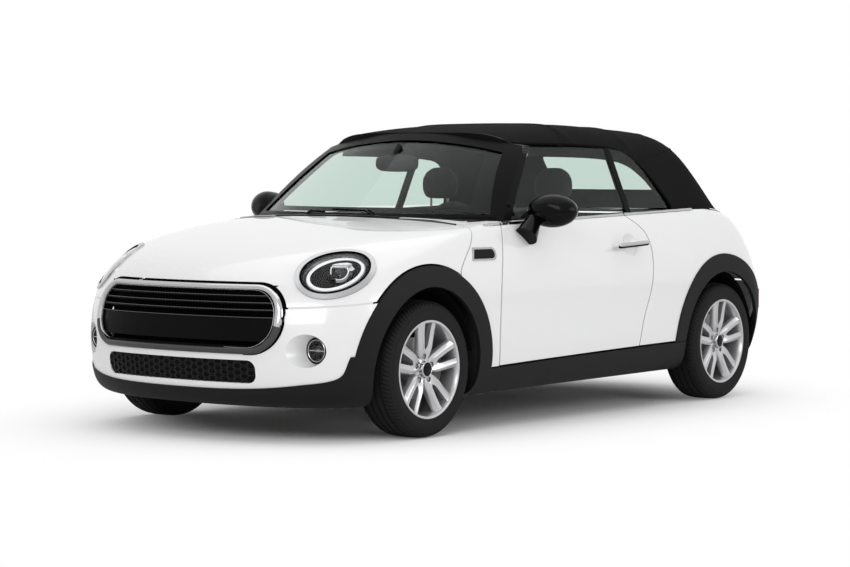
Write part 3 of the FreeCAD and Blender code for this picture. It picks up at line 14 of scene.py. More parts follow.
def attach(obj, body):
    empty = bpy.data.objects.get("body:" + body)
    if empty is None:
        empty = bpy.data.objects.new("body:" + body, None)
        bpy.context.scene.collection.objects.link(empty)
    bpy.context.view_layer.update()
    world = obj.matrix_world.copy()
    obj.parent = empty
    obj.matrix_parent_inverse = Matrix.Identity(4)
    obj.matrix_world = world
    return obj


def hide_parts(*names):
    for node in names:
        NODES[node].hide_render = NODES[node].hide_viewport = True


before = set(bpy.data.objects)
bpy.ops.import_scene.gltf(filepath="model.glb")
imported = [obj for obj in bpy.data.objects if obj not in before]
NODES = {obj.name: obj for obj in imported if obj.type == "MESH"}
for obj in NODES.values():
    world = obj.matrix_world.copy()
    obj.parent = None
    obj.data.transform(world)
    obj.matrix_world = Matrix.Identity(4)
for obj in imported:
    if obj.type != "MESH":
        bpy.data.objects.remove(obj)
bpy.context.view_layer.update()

FRONT_AXLE, REAR_AXLE = -1.1515, 1.3435
AXLE_HEIGHT = 0.305
WHEEL_PLANE = 0.7505
DOOR_TOP = 0.93
CABIN_HALF = 0.8
BESIDE_QUARTERS = 0.76
FAR_FRONT, FAR_REAR, FAR_SIDE, OVERHEAD = -2.4, 2.4, 1.2, 1.3
SIDES = ((1, "left"), (-1, "right"))


# Materials.
def feed(tree, node, inputs):
    """Gives a node's inputs their values, or links them to the outputs that feed them."""
    for socket, value in dict(inputs).items():
        if isinstance(value, bpy.types.NodeSocket):
            tree.links.new(value, node.inputs[socket])
        else:
            node.inputs[socket].default_value = value


def add_node(tree, kind, inputs=(), **settings):
    """A new shader node with its settings and inputs."""
    node = tree.nodes.new("ShaderNode" + kind)
    for name, value in settings.items():
        setattr(node, name, value)
    feed(tree, node, inputs)
    return node


def add_bump(tree, height, strength, distance):
    """Feeds a height to the main shader as a bump."""
    bump = add_node(tree, "Bump", {"Strength": strength, "Distance": distance, "Height": height})
    feed(tree, tree.nodes["Principled BSDF"], {"Normal": bump.outputs["Normal"]})


def end_with_mix(tree, share, first, second):
    """Ends a tree with a mix of two shaders."""
    mix = add_node(tree, "MixShader", {"Fac": share, 1: first, 2: second})
    tree.links.new(mix.outputs["Shader"], tree.nodes["Material Output"].inputs["Surface"])


def node_material(name):
    """A new material with its tree and its main shader."""
    material = bpy.data.materials.new(name)
    material.use_nodes = True
    tree = material.node_tree
    return material, tree, tree.nodes["Principled BSDF"]


def finish(name, colour, rough, metal=0.0, vary=0.05, vary_scale=5.0, rough_vary=0.05, grain=0.0,
           grain_scale=600.0, grain_distance=0.0004, shine=0.5, **sockets):
    """A material with a slow drift of colour and roughness and a fine grain in its bump."""
    material, tree, shader = node_material(name)
    place = add_node(tree, "TexCoord").outputs["Object"]
    drift = add_node(tree, "TexNoise", {"Scale": vary_scale, "Detail": 6.0, "Vector": place}).outputs["Fac"]
    dark, light = [(*(min(1.0, c * change) for c in colour), 1) for change in (1 - vary, 1 + vary)]
    tone = add_node(tree, "Mix", {"A": dark, "B": light, "Factor": drift}, data_type="RGBA")
    spread = add_node(tree, "MapRange", {"To Min": max(0.0, rough - rough_vary),
                                         "To Max": min(1.0, rough + rough_vary), "Value": drift})
    feed(tree, shader, {"Metallic": metal, "Base Color": tone.outputs["Result"], "Specular IOR Level": shine,
                        "Roughness": spread.outputs["Result"]})
    feed(tree, shader, {socket.replace("_", " "): value for socket, value in sockets.items()})
    if grain:
        fine = add_node(tree, "TexNoise", {"Scale": grain_scale, "Detail": 3.0, "Vector": place})
        add_bump(tree, fine.outputs["Fac"], grain, grain_distance)
    return material


def glass(name, tint, rough=0.0, ior=1.45):
    """Tinted glass that lets light from lamps through to what is behind it."""
    material, tree, shader = node_material(name)
    feed(tree, shader, {"Base Color": (*tint, 1), "Roughness": rough, "IOR": ior,
                        "Transmission Weight": 1.0})
    clear = add_node(tree, "BsdfTransparent", {"Color": (*tint, 1)})
    path = add_node(tree, "LightPath")
    end_with_mix(tree, path.outputs["Is Shadow Ray"], shader.outputs["BSDF"], clear.outputs["BSDF"])
    return material


THREAD_SCALE = 0.314


def weave(material, size, depth):
    """Adds the crossing threads of a woven cloth to a finish, a thread every so many metres."""
    tree = material.node_tree
    place = add_node(tree, "TexCoord").outputs["Object"]
    along, across, up = [
        add_node(tree, "TexWave", {"Scale": THREAD_SCALE / size, "Distortion": 0.6, "Vector": place},
                 bands_direction=axis).outputs["Fac"] for axis in "XYZ"]
    crossed = add_node(tree, "Math", {0: along, 1: across}, operation="MULTIPLY").outputs[0]
    height = add_node(tree, "Math", {0: crossed, 1: up}, operation="ADD").outputs[0]
    add_bump(tree, height, 0.6, depth)
    return material


PAINT = finish("white_paint", (0.74, 0.74, 0.745), 0.32, vary=0.012, rough_vary=0.02, grain=0.02,
               grain_scale=1400.0, Coat_Weight=0.8, Coat_Roughness=0.04)
GLOSS_BLACK = finish("gloss_black", (0.002, 0.002, 0.0025), 0.12, rough_vary=0.02, grain=0.01,
                     grain_scale=1400.0, shine=0.1)
TRIM = finish("trim_plastic", (0.008, 0.008, 0.008), 0.55, vary=0.15, grain=0.25, grain_scale=1100.0,
              shine=0.12)
SATIN_BLACK = finish("satin_black", (0.004, 0.004, 0.0042), 0.3, vary=0.1, grain=0.1, grain_scale=1300.0,
                     shine=0.03)
RUBBER = finish("tyre_rubber", (0.01, 0.01, 0.01), 0.7, vary=0.25, vary_scale=14.0, grain=0.35,
                grain_scale=700.0, shine=0.12)
SEAL = finish("window_seal", (0.002, 0.002, 0.002), 0.6, vary=0.1, grain=0.1, shine=0.02)
CHROME = finish("chrome", (0.5, 0.5, 0.51), 0.1, metal=1.0, vary=0.02, rough_vary=0.02)
SATIN_CHROME = finish("satin_chrome", (0.42, 0.42, 0.43), 0.26, metal=1.0, vary=0.03, rough_vary=0.04)
ALLOY = finish("wheel_alloy", (0.5, 0.5, 0.51), 0.3, metal=0.75, vary=0.03, grain=0.03,
               grain_scale=1500.0, Coat_Weight=0.4, Coat_Roughness=0.1)
STEEL = finish("bare_steel", (0.36, 0.36, 0.36), 0.35, metal=1.0, vary=0.12, vary_scale=20.0, grain=0.1)
CAST = finish("cast_iron", (0.1, 0.095, 0.09), 0.6, metal=0.6, vary=0.3, vary_scale=25.0, grain=0.4,
              grain_scale=350.0)
UNDERSEAL = finish("underseal", (0.03, 0.03, 0.03), 0.75, vary=0.25, vary_scale=9.0, grain=0.5,
                   grain_scale=160.0, grain_distance=0.001)
FELT = finish("liner_felt", (0.006, 0.006, 0.006), 0.9, vary=0.2, grain=0.5, grain_scale=500.0, shine=0.05)
VINYL = finish("soft_vinyl", (0.01, 0.01, 0.0105), 0.5, vary=0.1, grain=0.45, grain_scale=420.0, shine=0.15)
WINDOW = glass("window_glass", (0.745, 0.83, 0.79), ior=1.16)
CLEAR = glass("lamp_glass", (0.98, 0.985, 0.985), ior=1.16)
RED_GLASS = glass("tail_glass", (0.32, 0.006, 0.006), ior=1.2)
RED_GLOW = finish("red_reflector", (0.2, 0.004, 0.004), 0.25, shine=0.25)
PLATE = finish("blank_plate", (0.45, 0.45, 0.46), 0.35, metal=0.4, vary=0.03)
PROJECTOR = glass("projector_glass", (0.8, 0.84, 0.86), rough=0.02)
RING_DARK = finish("ring_dark", (0.05, 0.05, 0.052), 0.32, metal=0.6)
# A plain pale finish: the own colour of the lamps' ring light and reverse lens, and a painted reflection
# where it stands for the chrome of the headlamp visor and D outline.
PALE_LENS_AND_PAINTED_REFLECTION = finish("pale_lens_and_painted_reflection", (0.62, 0.63, 0.64), 0.35, vary=0.02)
VANE_LIGHT = finish("vane_edge", (0.1, 0.1, 0.1), 0.4, metal=0.5)
GRILLE_DARK = finish("grille_plastic", (0.004, 0.004, 0.0045), 0.35, vary=0.1, grain=0.12, shine=0.03)
CELL_PLASTIC = finish("cell_plastic", (0.016, 0.016, 0.017), 0.35, vary=0.1, shine=0.1)
LAMP_BEVEL = finish("lamp_bevel", (0.07, 0.07, 0.072), 0.28, metal=0.9)
LAMP_DARK = finish("lamp_bowl", (0.006, 0.006, 0.0065), 0.3, vary=0.1, shine=0.06)
FABRIC = weave(finish("roof_fabric", (0.0085, 0.0085, 0.0088), 0.85, vary=0.15, vary_scale=3.0, shine=0.01,
                      Sheen_Weight=0.02), 0.0016, 0.0004)
SEAT_CLOTH = weave(finish("seat_cloth", (0.02, 0.02, 0.021), 0.9, vary=0.12, shine=0.1, Sheen_Weight=0.1),
                   0.0022, 0.0005)


def dress(node, *materials, choose=None):
    """Gives a CAD node its materials; choose(centre, normal) is true for faces of the second one."""
    data = NODES[node].data
    data.materials.clear()
    for material in materials:
        data.materials.append(material)
    for face in data.polygons:
        face.use_smooth = True
        face.material_index = int(choose(face.center, face.normal)) if choose else 0


def flat_top(centre, normal):
    """Whether a face is a level one along the top of a door or quarter."""
    return normal.z > 0.9 and centre.z > DOOR_TOP


def quarter_lining(centre, normal):
    """Whether a face of the quarters shows in the cabin."""
    inward = normal.x * centre.x < 0 and abs(normal.x) > 0.6 and abs(centre.x) < BESIDE_QUARTERS
    return centre.y < 1.3 and (inward or flat_top(centre, normal))


def door_lining(sign):
    """A test for the faces of one side's door that show in the cabin."""
    def choose(centre, normal):
        return (normal.x * sign < -0.6 and abs(centre.x) < CABIN_HALF) or flat_top(centre, normal)
    return choose


dress("quarter_panels", PAINT, VINYL, choose=quarter_lining)
dress("floor_pan", UNDERSEAL, PAINT, choose=lambda centre, normal: centre.z > 0.84 and abs(centre.x) > 0.7)
for side, label in SIDES:
    dress(f"door_{label}", PAINT, VINYL, choose=door_lining(side))
for material, nodes in (
        (PAINT, "front_wings bonnet front_bumper rear_bumper tailgate"), (TRIM, "skirts arch_trims"),
        (FELT, "wheel_liners"), (GRILLE_DARK, "grille_frame grilles"), (LAMP_DARK, "headlamps"),
        (CLEAR, "lamp_lenses"), (SATIN_CHROME, "lamp_rings"), (CHROME, "fog_lamps"),
        (RED_GLASS, "tail_lamps"), (SATIN_BLACK, "windscreen_frame"),
        (WINDOW, "windscreen rear_glass door_glass_left door_glass_right"), (SEAL, "soft_top"),
        (GLOSS_BLACK, "mirror_left mirror_right"), (STEEL, "exhaust"),
        (CAST, "knuckle_left knuckle_right front_subframe rear_axle engine_block"),
        (VINYL, "dashboard steering_wheel front_seats rear_bench")):
    for node in nodes.split():
        dress(node, material)


# Mesh helpers. A part is a pair: vertices and faces.
def mesh_object(name, part):
    """A mesh object in the scene from a part, its doubled points merged and its faces turned outwards."""
    data = bpy.data.meshes.new(name)
    data.from_pydata([tuple(v) for v in part[0]], [], part[1])
    work = bmesh.new()
    work.from_mesh(data)
    bmesh.ops.remove_doubles(work, verts=work.verts, dist=1e-6)
    bmesh.ops.recalc_face_normals(work, faces=work.faces)
    work.to_mesh(data)
    work.free()
    piece = bpy.data.objects.new(name, data)
    bpy.context.scene.collection.objects.link(piece)
    return piece


def build(name, part, material, body="body", sharp=35):
    """A mesh piece that rides on a body."""
    piece = mesh_object(name, part)
    piece.data.materials.append(material)
    for face in piece.data.polygons:
        face.use_smooth = True
    piece.data.set_sharp_from_angle(angle=math.radians(sharp))
    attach(piece, body)
    return piece


def build_pair(name, part, material, body="body"):
    """A left piece and its mirror image on the right; with body="door" each rides on its own door."""
    for label, mesh in (("left", part), ("right", flipped(part))):
        build(f"{name}_{label}", mesh, material, f"{label}_door" if body == "door" else body)


def settled(piece):
    """The mesh of a piece with its modifiers applied."""
    bpy.context.view_layer.update()
    shown = piece.evaluated_get(bpy.context.evaluated_depsgraph_get())
    return bpy.data.meshes.new_from_object(shown)


def carved(piece, cutters, overlapping=False):
    """What is left of a mesh object, as a part, when other parts are cut out of it."""
    cutter = mesh_object("cutter", joined(cutters))
    cut = piece.modifiers.new("cut", "BOOLEAN")
    cut.operation = "DIFFERENCE"
    cut.solver = "EXACT"
    cut.use_self = overlapping
    cut.object = cutter
    data = settled(piece)
    bpy.data.objects.remove(cutter)
    bpy.data.objects.remove(piece)
    return [tuple(v.co) for v in data.vertices], [tuple(f.vertices) for f in data.polygons]


def evenly(start, end, steps):
    """Numbers from one to another in even steps, both ends included."""
    return [start + (end - start) * k / steps for k in range(steps + 1)]


def circle(steps):
    """Cosine and sine of evenly spaced turns."""
    return [(math.cos(math.tau * k / steps), math.sin(math.tau * k / steps)) for k in range(steps)]


def grid_faces(rows, columns, wrap_rows=False, wrap_columns=False):
    """Quads between neighbouring rows of a grid of vertices."""
    faces = []
    for i in range(rows if wrap_rows else rows - 1):
        for j in range(columns if wrap_columns else columns - 1):
            row, next_row = i * columns, (i + 1) % rows * columns
            after = (j + 1) % columns
            faces.append((row + j, row + after, next_row + after, next_row + j))
    return faces


def lathe(profile, steps, closed=True):
    """A profile of (x, radius) turned about the X axis."""
    vertices = [(x, r * cosine, r * sine) for cosine, sine in circle(steps) for x, r in profile]
    return vertices, grid_faces(steps, len(profile), wrap_rows=True, wrap_columns=closed)


def looped(rings):
    """Rings of points joined round in a closed loop."""
    return [p for ring in rings for p in ring], grid_faces(len(rings), len(rings[0]), True, True)


def loft(sections, capped=True):
    """A skin through closed sections that have the same number of points."""
    count = len(sections[0])
    vertices = [p for section in sections for p in section]
    faces = grid_faces(len(sections), count, wrap_columns=True)
    if capped:
        faces.append(tuple(range(count - 1, -1, -1)))
        faces.append(tuple(len(vertices) - count + k for k in range(count)))
    return vertices, faces


def joined(parts):
    """One part from several."""
    vertices, faces = [], []
    for part_vertices, part_faces in parts:
        start = len(vertices)
        vertices += list(part_vertices)
        faces += [tuple(start + k for k in face) for face in part_faces]
    return vertices, faces


def placed(part, matrix):
    """A part moved by a matrix."""
    return [tuple(matrix @ Vector(v)) for v in part[0]], part[1]


def flipped(part):
    """A part on the car's other side."""
    return [(-v[0], v[1], v[2]) for v in part[0]], [tuple(reversed(face)) for face in part[1]]


def block(x, y, z, half_x, half_y, half_z):
    """A box about its middle."""
    corners = ((-half_x, -half_z), (half_x, -half_z), (half_x, half_z), (-half_x, half_z))
    return loft([[(x + a, y + depth, z + b) for a, b in corners] for depth in (-half_y, half_y)])


def mirrored(points):
    """A section of (across, up) points completed with their mirror images."""
    return [*points, *((-a, b) for a, b in reversed(points) if a)]


def between(value, places, numbers):
    """The number at a value, on straight lines between given places."""
    if value <= places[0]:
        return numbers[0]
    for k in range(1, len(places)):
        if value <= places[k]:
            share = (value - places[k - 1]) / (places[k] - places[k - 1])
            return numbers[k - 1] + (numbers[k] - numbers[k - 1]) * share
    return numbers[-1]


def sweep(path, section, ups, closed=False):
    """A section of (across, up) points carried along a path, with the up direction given at each point."""
    rings = []
    count = len(path)
    for k in range(count):
        ahead = path[(k + 1) % count] if closed or k + 1 < count else path[k]
        behind = path[k - 1] if closed or k else path[k]
        along = (Vector(ahead) - Vector(behind)).normalized()
        up = Vector(ups[k])
        up = (up - along * up.dot(along)).normalized()
        across = along.cross(up)
        rings.append([tuple(Vector(path[k]) + across * a + up * b) for a, b in section])
    return looped(rings) if closed else loft(rings)


def skin_tree(*nodes):
    """A tree of the faces of some CAD nodes, to find where their surface is."""
    vertices, faces = joined([([v.co.copy() for v in NODES[node].data.vertices],
                               [tuple(f.vertices) for f in NODES[node].data.polygons]) for node in nodes])
    return BVHTree.FromPolygons(vertices, faces)


def hit(tree, start, way):
    """Where a ray from a point first meets a tree, with the normal there facing the ray."""
    place, normal, _, _ = tree.ray_cast(Vector(start), Vector(way).normalized())
    if place is None:
        return None, None
    return place, -normal if normal.dot(Vector(way)) > 0 else normal


def from_front(tree, x, z):
    """What a ray meets that comes from straight ahead of the car."""
    return hit(tree, (x, FAR_FRONT, z), (0, 1, 0))


def from_behind(tree, x, z):
    """What a ray meets that comes from straight behind the car."""
    return hit(tree, (x, FAR_REAR, z), (0, -1, 0))


def from_side(tree, y, z, side=1):
    """What a ray meets that comes from straight beside the car."""
    return hit(tree, (side * FAR_SIDE, y, z), (-side, 0, 0))


def from_above(tree, x, y, height=OVERHEAD):
    """What a ray meets that falls straight down."""
    return hit(tree, (x, y, height), (0, 0, -1))


# Wheels: five pairs of spokes on a deep rim, with hub cap, bolts and brake disc.
RIM_PROFILE = (
    (0.0925, 0.2182), (0.0932, 0.214), (0.0915, 0.2085), (0.084, 0.205), (0.068, 0.201), (0.03, 0.197),
    (-0.02, 0.194), (-0.075, 0.1985), (-0.088, 0.206), (-0.0915, 0.2175), (-0.0885, 0.2182),
    (-0.084, 0.2118), (-0.06, 0.207), (0.06, 0.207), (0.084, 0.2118), (0.089, 0.2182),
)
SPOKE_REACH = (0.04, 0.056, 0.07, 0.084, 0.092, 0.098, 0.11, 0.13, 0.155, 0.18, 0.198, 0.2065)
SPOKE_OUTER = (0.024, 0.0345, 0.04, 0.0445, 0.046, 0.047, 0.049, 0.0525, 0.057, 0.0605, 0.0635, 0.066)
SPOKE_INNER = (-0.001, -0.001, -0.001, -0.001, 0.004, 0.0095, 0.0125, 0.0155, 0.019, 0.022, 0.024, 0.025)
SPOKE_TOP = (0.061, 0.066, 0.071, 0.075, 0.0765, 0.0772, 0.0782, 0.0792, 0.081, 0.0835, 0.0868, 0.089)
SPOKE_DEPTH = (0.03, 0.032, 0.034, 0.034, 0.034, 0.033, 0.032, 0.03, 0.028, 0.026, 0.024, 0.022)
SPOKE_VALLEY = (0.004, 0.0075, 0.0085, 0.009, 0.0085, 0.0075, 0.0055, 0.0045, 0.004, 0.0035, 0.003, 0.0025)
HUB = ((0.02, 0.0), (0.063, 0.0), (0.063, 0.036), (0.0605, 0.05), (0.05, 0.062), (0.03, 0.068),
       (0.02, 0.068))
CREST_REACH, CREST_SHARE = (0.05, 0.1, 0.2), (0.78, 0.62, 0.5)
BOLT_CIRCLE = 0.056
BOLT_WELL = ((0.1, 0.0), (0.1, 0.0165), (0.064, 0.0132), (0.044, 0.0124), (0.044, 0.0))
BOLT_HEAD = ((0.04, 0.0), (0.04, 0.0118), (0.049, 0.0118), (0.05, 0.0088), (0.057, 0.0086),
             (0.058, 0.0078), (0.058, 0.004), (0.056, 0.0034), (0.056, 0.0))
ARM_TURNS = [math.radians(90 + 72 * k) for k in range(5)]


def spoke(axis_turn, side):
    """One arm of a pair, lofted outwards along the pair's axis."""
    way = Vector((0, math.cos(axis_turn), math.sin(axis_turn)))
    across = Vector((0, -math.sin(axis_turn), math.cos(axis_turn))) * side
    sections = []
    for reach, outer, inner, top, depth, valley in zip(
            SPOKE_REACH, SPOKE_OUTER, SPOKE_INNER, SPOKE_TOP, SPOKE_DEPTH, SPOKE_VALLEY):
        crest = inner + (outer - inner) * between(reach, CREST_REACH, CREST_SHARE)
        points = [
            (inner, top - depth), (inner, top - valley),
            (inner + (crest - inner) * 0.45, top - valley * 0.72),
            (crest - 0.003, top - 0.001), (crest, top), (crest + 0.0022, top - 0.0008),
            (outer - 0.0012, top - 0.0075), (outer + 0.001, top - 0.011), (outer + 0.003, top - depth),
        ]
        if side < 0:
            points.reverse()
        sections.append([tuple(way * reach + across * u + Vector((x, 0, 0))) for u, x in points])
    return loft(sections)


def at_bolts(part):
    """Copies of a turned part, one at each wheel bolt."""
    return [placed(part, Matrix.Translation((0, BOLT_CIRCLE * math.cos(turn), BOLT_CIRCLE * math.sin(turn))))
            for turn in ARM_TURNS]


def wheel_mesh():
    """The cast wheel, with its bolt wells cut in."""
    arms = [lathe(HUB, 60, closed=False)] + [spoke(turn, side) for turn in ARM_TURNS for side in (-1, 1)]
    face = carved(mesh_object("wheel_face", joined(arms)), at_bolts(lathe(BOLT_WELL, 24, closed=False)),
                  overlapping=True)
    return joined([face, lathe(RIM_PROFILE, 120)])


# Tyres: shoulder grooves across, four channels round, and ridged side walls.
TYRE_PITCHES = 92
PITCH_EDGES = ((0.0, False), (0.7, False), (0.76, True), (0.94, True))
TYRE_HALF = (
    (0.0885, 0.2165), (0.0925, 0.2205), (0.0945, 0.2235), (0.094, 0.226), (0.0958, 0.232), (0.0968, 0.244),
    (0.0965, 0.256), (0.0958, 0.262), (0.0966, 0.263), (0.0964, 0.2645), (0.095, 0.2652), (0.093, 0.274),
    (0.091, 0.279), (0.0918, 0.28), (0.09, 0.2835), (0.0868, 0.2885), (0.082, 0.294), (0.075, 0.299),
    (0.064, 0.3022), (0.0545, 0.3034), (0.0535, 0.2965), (0.047, 0.2965), (0.046, 0.304), (0.033, 0.3046),
    (0.0215, 0.3048), (0.0205, 0.297), (0.014, 0.297), (0.013, 0.305), (0.0, 0.305),
)
SIPE_FROM, SIPE_TO = 14, 19
SIPE_DEPTH = 0.0048
SIPE_SLANT = 0.9
SHOULDER_FROM, SHOULDER_WIDTH = 0.054, 0.035


def tyre_mesh():
    """A tyre turned about X, its shoulder ribs cut across once a pitch."""
    profile = [(x, r, k) for k, (x, r) in enumerate(TYRE_HALF)]
    profile += [(-x, r, k) for x, r, k in reversed(profile[:-1])]
    vertices = []
    step = 2 * math.pi / TYRE_PITCHES
    for pitch in range(TYRE_PITCHES):
        for share, low in PITCH_EDGES:
            for x, r, k in profile:
                slant = SIPE_SLANT * step * (abs(x) - SHOULDER_FROM) / SHOULDER_WIDTH
                turn = step * (pitch + share) + (slant if x > 0 else slant + 0.5 * step)
                cut = low and SIPE_FROM <= k <= SIPE_TO
                reach = r - (SIPE_DEPTH if cut else 0.0) * (0.55 if k in (SIPE_FROM, SIPE_TO) else 1.0)
                vertices.append((x, reach * math.cos(turn), reach * math.sin(turn)))
    return vertices, grid_faces(TYRE_PITCHES * len(PITCH_EDGES), len(profile), True, True)


CAP_RING = lathe(((0.06, 0.03), (0.0775, 0.03), (0.08, 0.0312), (0.0805, 0.0335), (0.079, 0.036),
                  (0.07, 0.0385), (0.06, 0.0395)), 48)
CAP = lathe(((0.06, 0.0), (0.06, 0.0302), (0.077, 0.0302), (0.0785, 0.0285), (0.0797, 0.02),
             (0.0802, 0.01), (0.0803, 0.0)), 48, closed=False)
VENTED_DISC = lathe(((0.0005, 0.07), (0.0, 0.0745), (0.0, 0.1372), (-0.0012, 0.1384), (-0.0075, 0.1384),
                     (-0.008, 0.131), (-0.014, 0.131), (-0.0145, 0.1384), (-0.0208, 0.1384),
                     (-0.022, 0.1372), (-0.022, 0.0745), (-0.0215, 0.07)), 96)
DISC_HAT = lathe(((0.0005, 0.072), (0.025, 0.069), (0.028, 0.066), (0.0285, 0.03), (0.024, 0.03),
                  (0.0, 0.066), (-0.006, 0.07)), 64)
WHEEL_PARTS = (
    ("alloy", wheel_mesh(), ALLOY, "wheel"), ("rubber", tyre_mesh(), RUBBER, "tyre"),
    ("disc", joined([VENTED_DISC, DISC_HAT]), STEEL, None), ("cap_ring", CAP_RING, CHROME, None),
    ("cap", CAP, GLOSS_BLACK, None),
    ("bolts", joined(at_bolts(lathe(BOLT_HEAD, 6, closed=False))), STEEL, None),
)
for end, axle_y in (("front", FRONT_AXLE), ("rear", REAR_AXLE)):
    for side, label in SIDES:
        turn = Matrix.Rotation(math.pi, 4, "Z") if side < 0 else Matrix.Identity(4)
        spot = Matrix.Translation((side * WHEEL_PLANE, axle_y, AXLE_HEIGHT)) @ turn
        for name, part, material, node in WHEEL_PARTS:
            piece = build(f"{end}_{label}_{name}", placed(part, spot), material, f"{end}_{label}_wheel",
                          sharp=32)
            if node:
                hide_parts(f"{node}_{end}_{label}")


# Fabric roof: a taut sheet over its bows, cut for the side windows and the rear window.
ROOF_ROWS = (
    (-0.1175, -0.2265, 0.746, 0.962, 1.37, 6.0, 0.4167), (0.0385, -0.0215, 0.746, 0.964, 1.398, 6.0, 0.4167),
    (0.3485, 0.3485, 0.746, 0.972, 1.426, 6.0, 0.4167), (0.6035, 0.6035, 0.746, 0.98, 1.428, 6.0, 0.4167),
    (0.9935, 0.9935, 0.744, 0.987, 1.411, 5.5, 0.4167), (1.2535, 1.3235, 0.742, 0.992, 1.405, 5.0, 0.38),
    (1.3335, 1.4035, 0.738, 0.993, 1.307, 4.5, 0.36), (1.4285, 1.5235, 0.724, 0.993, 1.157, 4.0, 0.34),
    (1.5155, 1.6495, 0.7, 0.984, 0.996, 3.5, 0.3),
)
ROOF_ANGLES = (0, 12, 28, 45, 60, 72, 81, 90)
ROOF_STEPS, ROOF_ACROSS = 130, 120
ROOF_THICK = 0.014
BOW_PLACES = ((0.385, 0.028, 0.0045), (0.87, 0.034, 0.0045), (1.335, 0.024, 0.0135))
BOW_BEND_FRONT, BOW_BEND_REAR = -0.05, 0.06
BOW_FOOT, BOW_RISE = 1.2, 0.12
RUN_STEP = 0.025
WINDOW_TOP = ((-0.1215, 1.309), (0.2395, 1.31), (0.5645, 1.307), (0.7315, 1.29), (0.8575, 1.217),
              (0.9415, 1.108), (0.9935, 1.023))
WINDOW_REAR_EDGE = 0.9995
REAR_WINDOW_HALF, REAR_WINDOW_LOW, REAR_WINDOW_HIGH = 0.37, 1.087, 1.302


def spline_weights(count, share):
    """The first control point and four weights of a clamped cubic B-spline at a share of its length."""
    spans = count - 3
    knots = [0.0] * 4 + [k / spans for k in range(1, spans)] + [1.0] * 4
    span = 3 + min(spans - 1, int(share * spans))
    weights = [1.0]
    for degree in range(1, 4):
        grown = [0.0] * (degree + 1)
        for k in range(degree):
            low, high = knots[span - degree + 1 + k], knots[span + 1 + k]
            part = (share - low) / (high - low)
            grown[k] += weights[k] * (1 - part)
            grown[k + 1] += weights[k] * part
        weights = grown
    return span - 3, weights


def spline_curve(points, count):
    """Evenly shared places along a clamped cubic B-spline through its control points' pull."""
    places = []
    for k in range(count):
        first, weights = spline_weights(len(points), k / (count - 1))
        place = Vector((0, 0, 0))
        for j, weight in enumerate(weights):
            place += Vector(points[first + j]) * weight
        places.append(place)
    return places


def roof_net():
    """The roof's control points, row by row from the header to the deck."""
    net = []
    for edge_y, middle_y, half, low, high, power, lean in ROOF_ROWS:
        left = []
        for angle in ROOF_ANGLES:
            sine, cosine = math.sin(math.radians(angle)), math.cos(math.radians(angle))
            cosine = 0.0 if angle == 90 else cosine
            up, across = sine ** (2 / power), cosine ** (2 / power)
            z = low + (high - low) * up
            x = (half - (z - low) * lean) * across
            left.append(Vector((x, edge_y + (middle_y - edge_y) * (1 - across ** 2.5), z)))
        net.append(left + [Vector((-p.x, p.y, p.z)) for p in left[-2::-1]])
    return net


ROOF_NET = roof_net()


def roof_smooth(along, across):
    """A point of the roof's even surface, without its bows."""
    row, row_weights = spline_weights(len(ROOF_NET), along)
    column, column_weights = spline_weights(len(ROOF_NET[0]), across)
    place = Vector((0, 0, 0))
    for i, row_weight in enumerate(row_weights):
        for j, column_weight in enumerate(column_weights):
            place += ROOF_NET[row + i][column + j] * row_weight * column_weight
    return place


def roof_place(along, across):
    """A point of the roof at two shares, along the car and across it, drawn up a little over each bow."""
    place = roof_smooth(along, across)
    lift = 0.0
    for middle_y, reach, height in BOW_PLACES:
        bend = BOW_BEND_REAR if middle_y > 1.0 else BOW_BEND_FRONT
        away = middle_y - place.y + bend * min(1.0, abs(place.x) / 0.5) ** 2
        fade = min(1.0, max(0.0, (place.z - BOW_FOOT) / BOW_RISE))
        lift += height * math.exp(-(away / reach) ** 2) * fade
    middle = Vector((place.x * 0.3, min(place.y, 1.1), 0.9))
    return place + (place - middle).normalized() * lift


def rounded(half, low, high, radius, steps=10):
    """Corner-rounded rectangle of (x, z), anticlockwise from the lower right, seen from the front."""
    points = []
    side, top, bottom = half - radius, high - radius, low + radius
    for centre_x, centre_z, start in (
            (side, top, 0), (-side, top, 90), (-side, bottom, 180), (side, bottom, 270)):
        for angle in evenly(start, start + 90, steps):
            turn = math.radians(angle)
            points.append((centre_x + radius * math.cos(turn), centre_z + radius * math.sin(turn)))
    filled = []
    for k, (x, z) in enumerate(points):
        next_x, next_z = points[(k + 1) % len(points)]
        pieces = max(1, int(math.hypot(next_x - x, next_z - z) / RUN_STEP))
        filled += [(x + (next_x - x) * j / pieces, z + (next_z - z) * j / pieces) for j in range(pieces)]
    return filled


WINDOW_LINE = [(p.y, p.z) for p in spline_curve([(0, y, z + 0.005) for y, z in WINDOW_TOP], 40)]


def roof_mesh():
    """The fabric as a closed sheet with its window openings."""
    rows = [[roof_place(along, across) for along in evenly(0, 1, ROOF_STEPS)]
            for across in evenly(0, 1, ROOF_ACROSS)]
    sheet = mesh_object("roof_sheet", ([p for row in rows for p in row],
                                       grid_faces(ROOF_ACROSS + 1, ROOF_STEPS + 1)))
    thick = sheet.modifiers.new("thick", "SOLIDIFY")
    thick.thickness = ROOF_THICK
    thick.offset = -1.0
    outline = [(-0.6, 0.93), (-0.6, WINDOW_LINE[0][1])] + WINDOW_LINE
    outline += [(WINDOW_REAR_EDGE, 1.02), (WINDOW_REAR_EDGE, 0.93)]
    left_cut = loft([[(x, y, z) for y, z in outline] for x in (0.3, 1.0)])
    right_cut = loft([[(x, y, z) for y, z in outline] for x in (-1.0, -0.3)])
    hole = rounded(REAR_WINDOW_HALF, REAR_WINDOW_LOW, REAR_WINDOW_HIGH, 0.06)
    rear_cut = loft([[(x, y, z) for x, z in hole] for y in (1.2, 1.8)])
    return carved(sheet, [left_cut, right_cut, rear_cut])


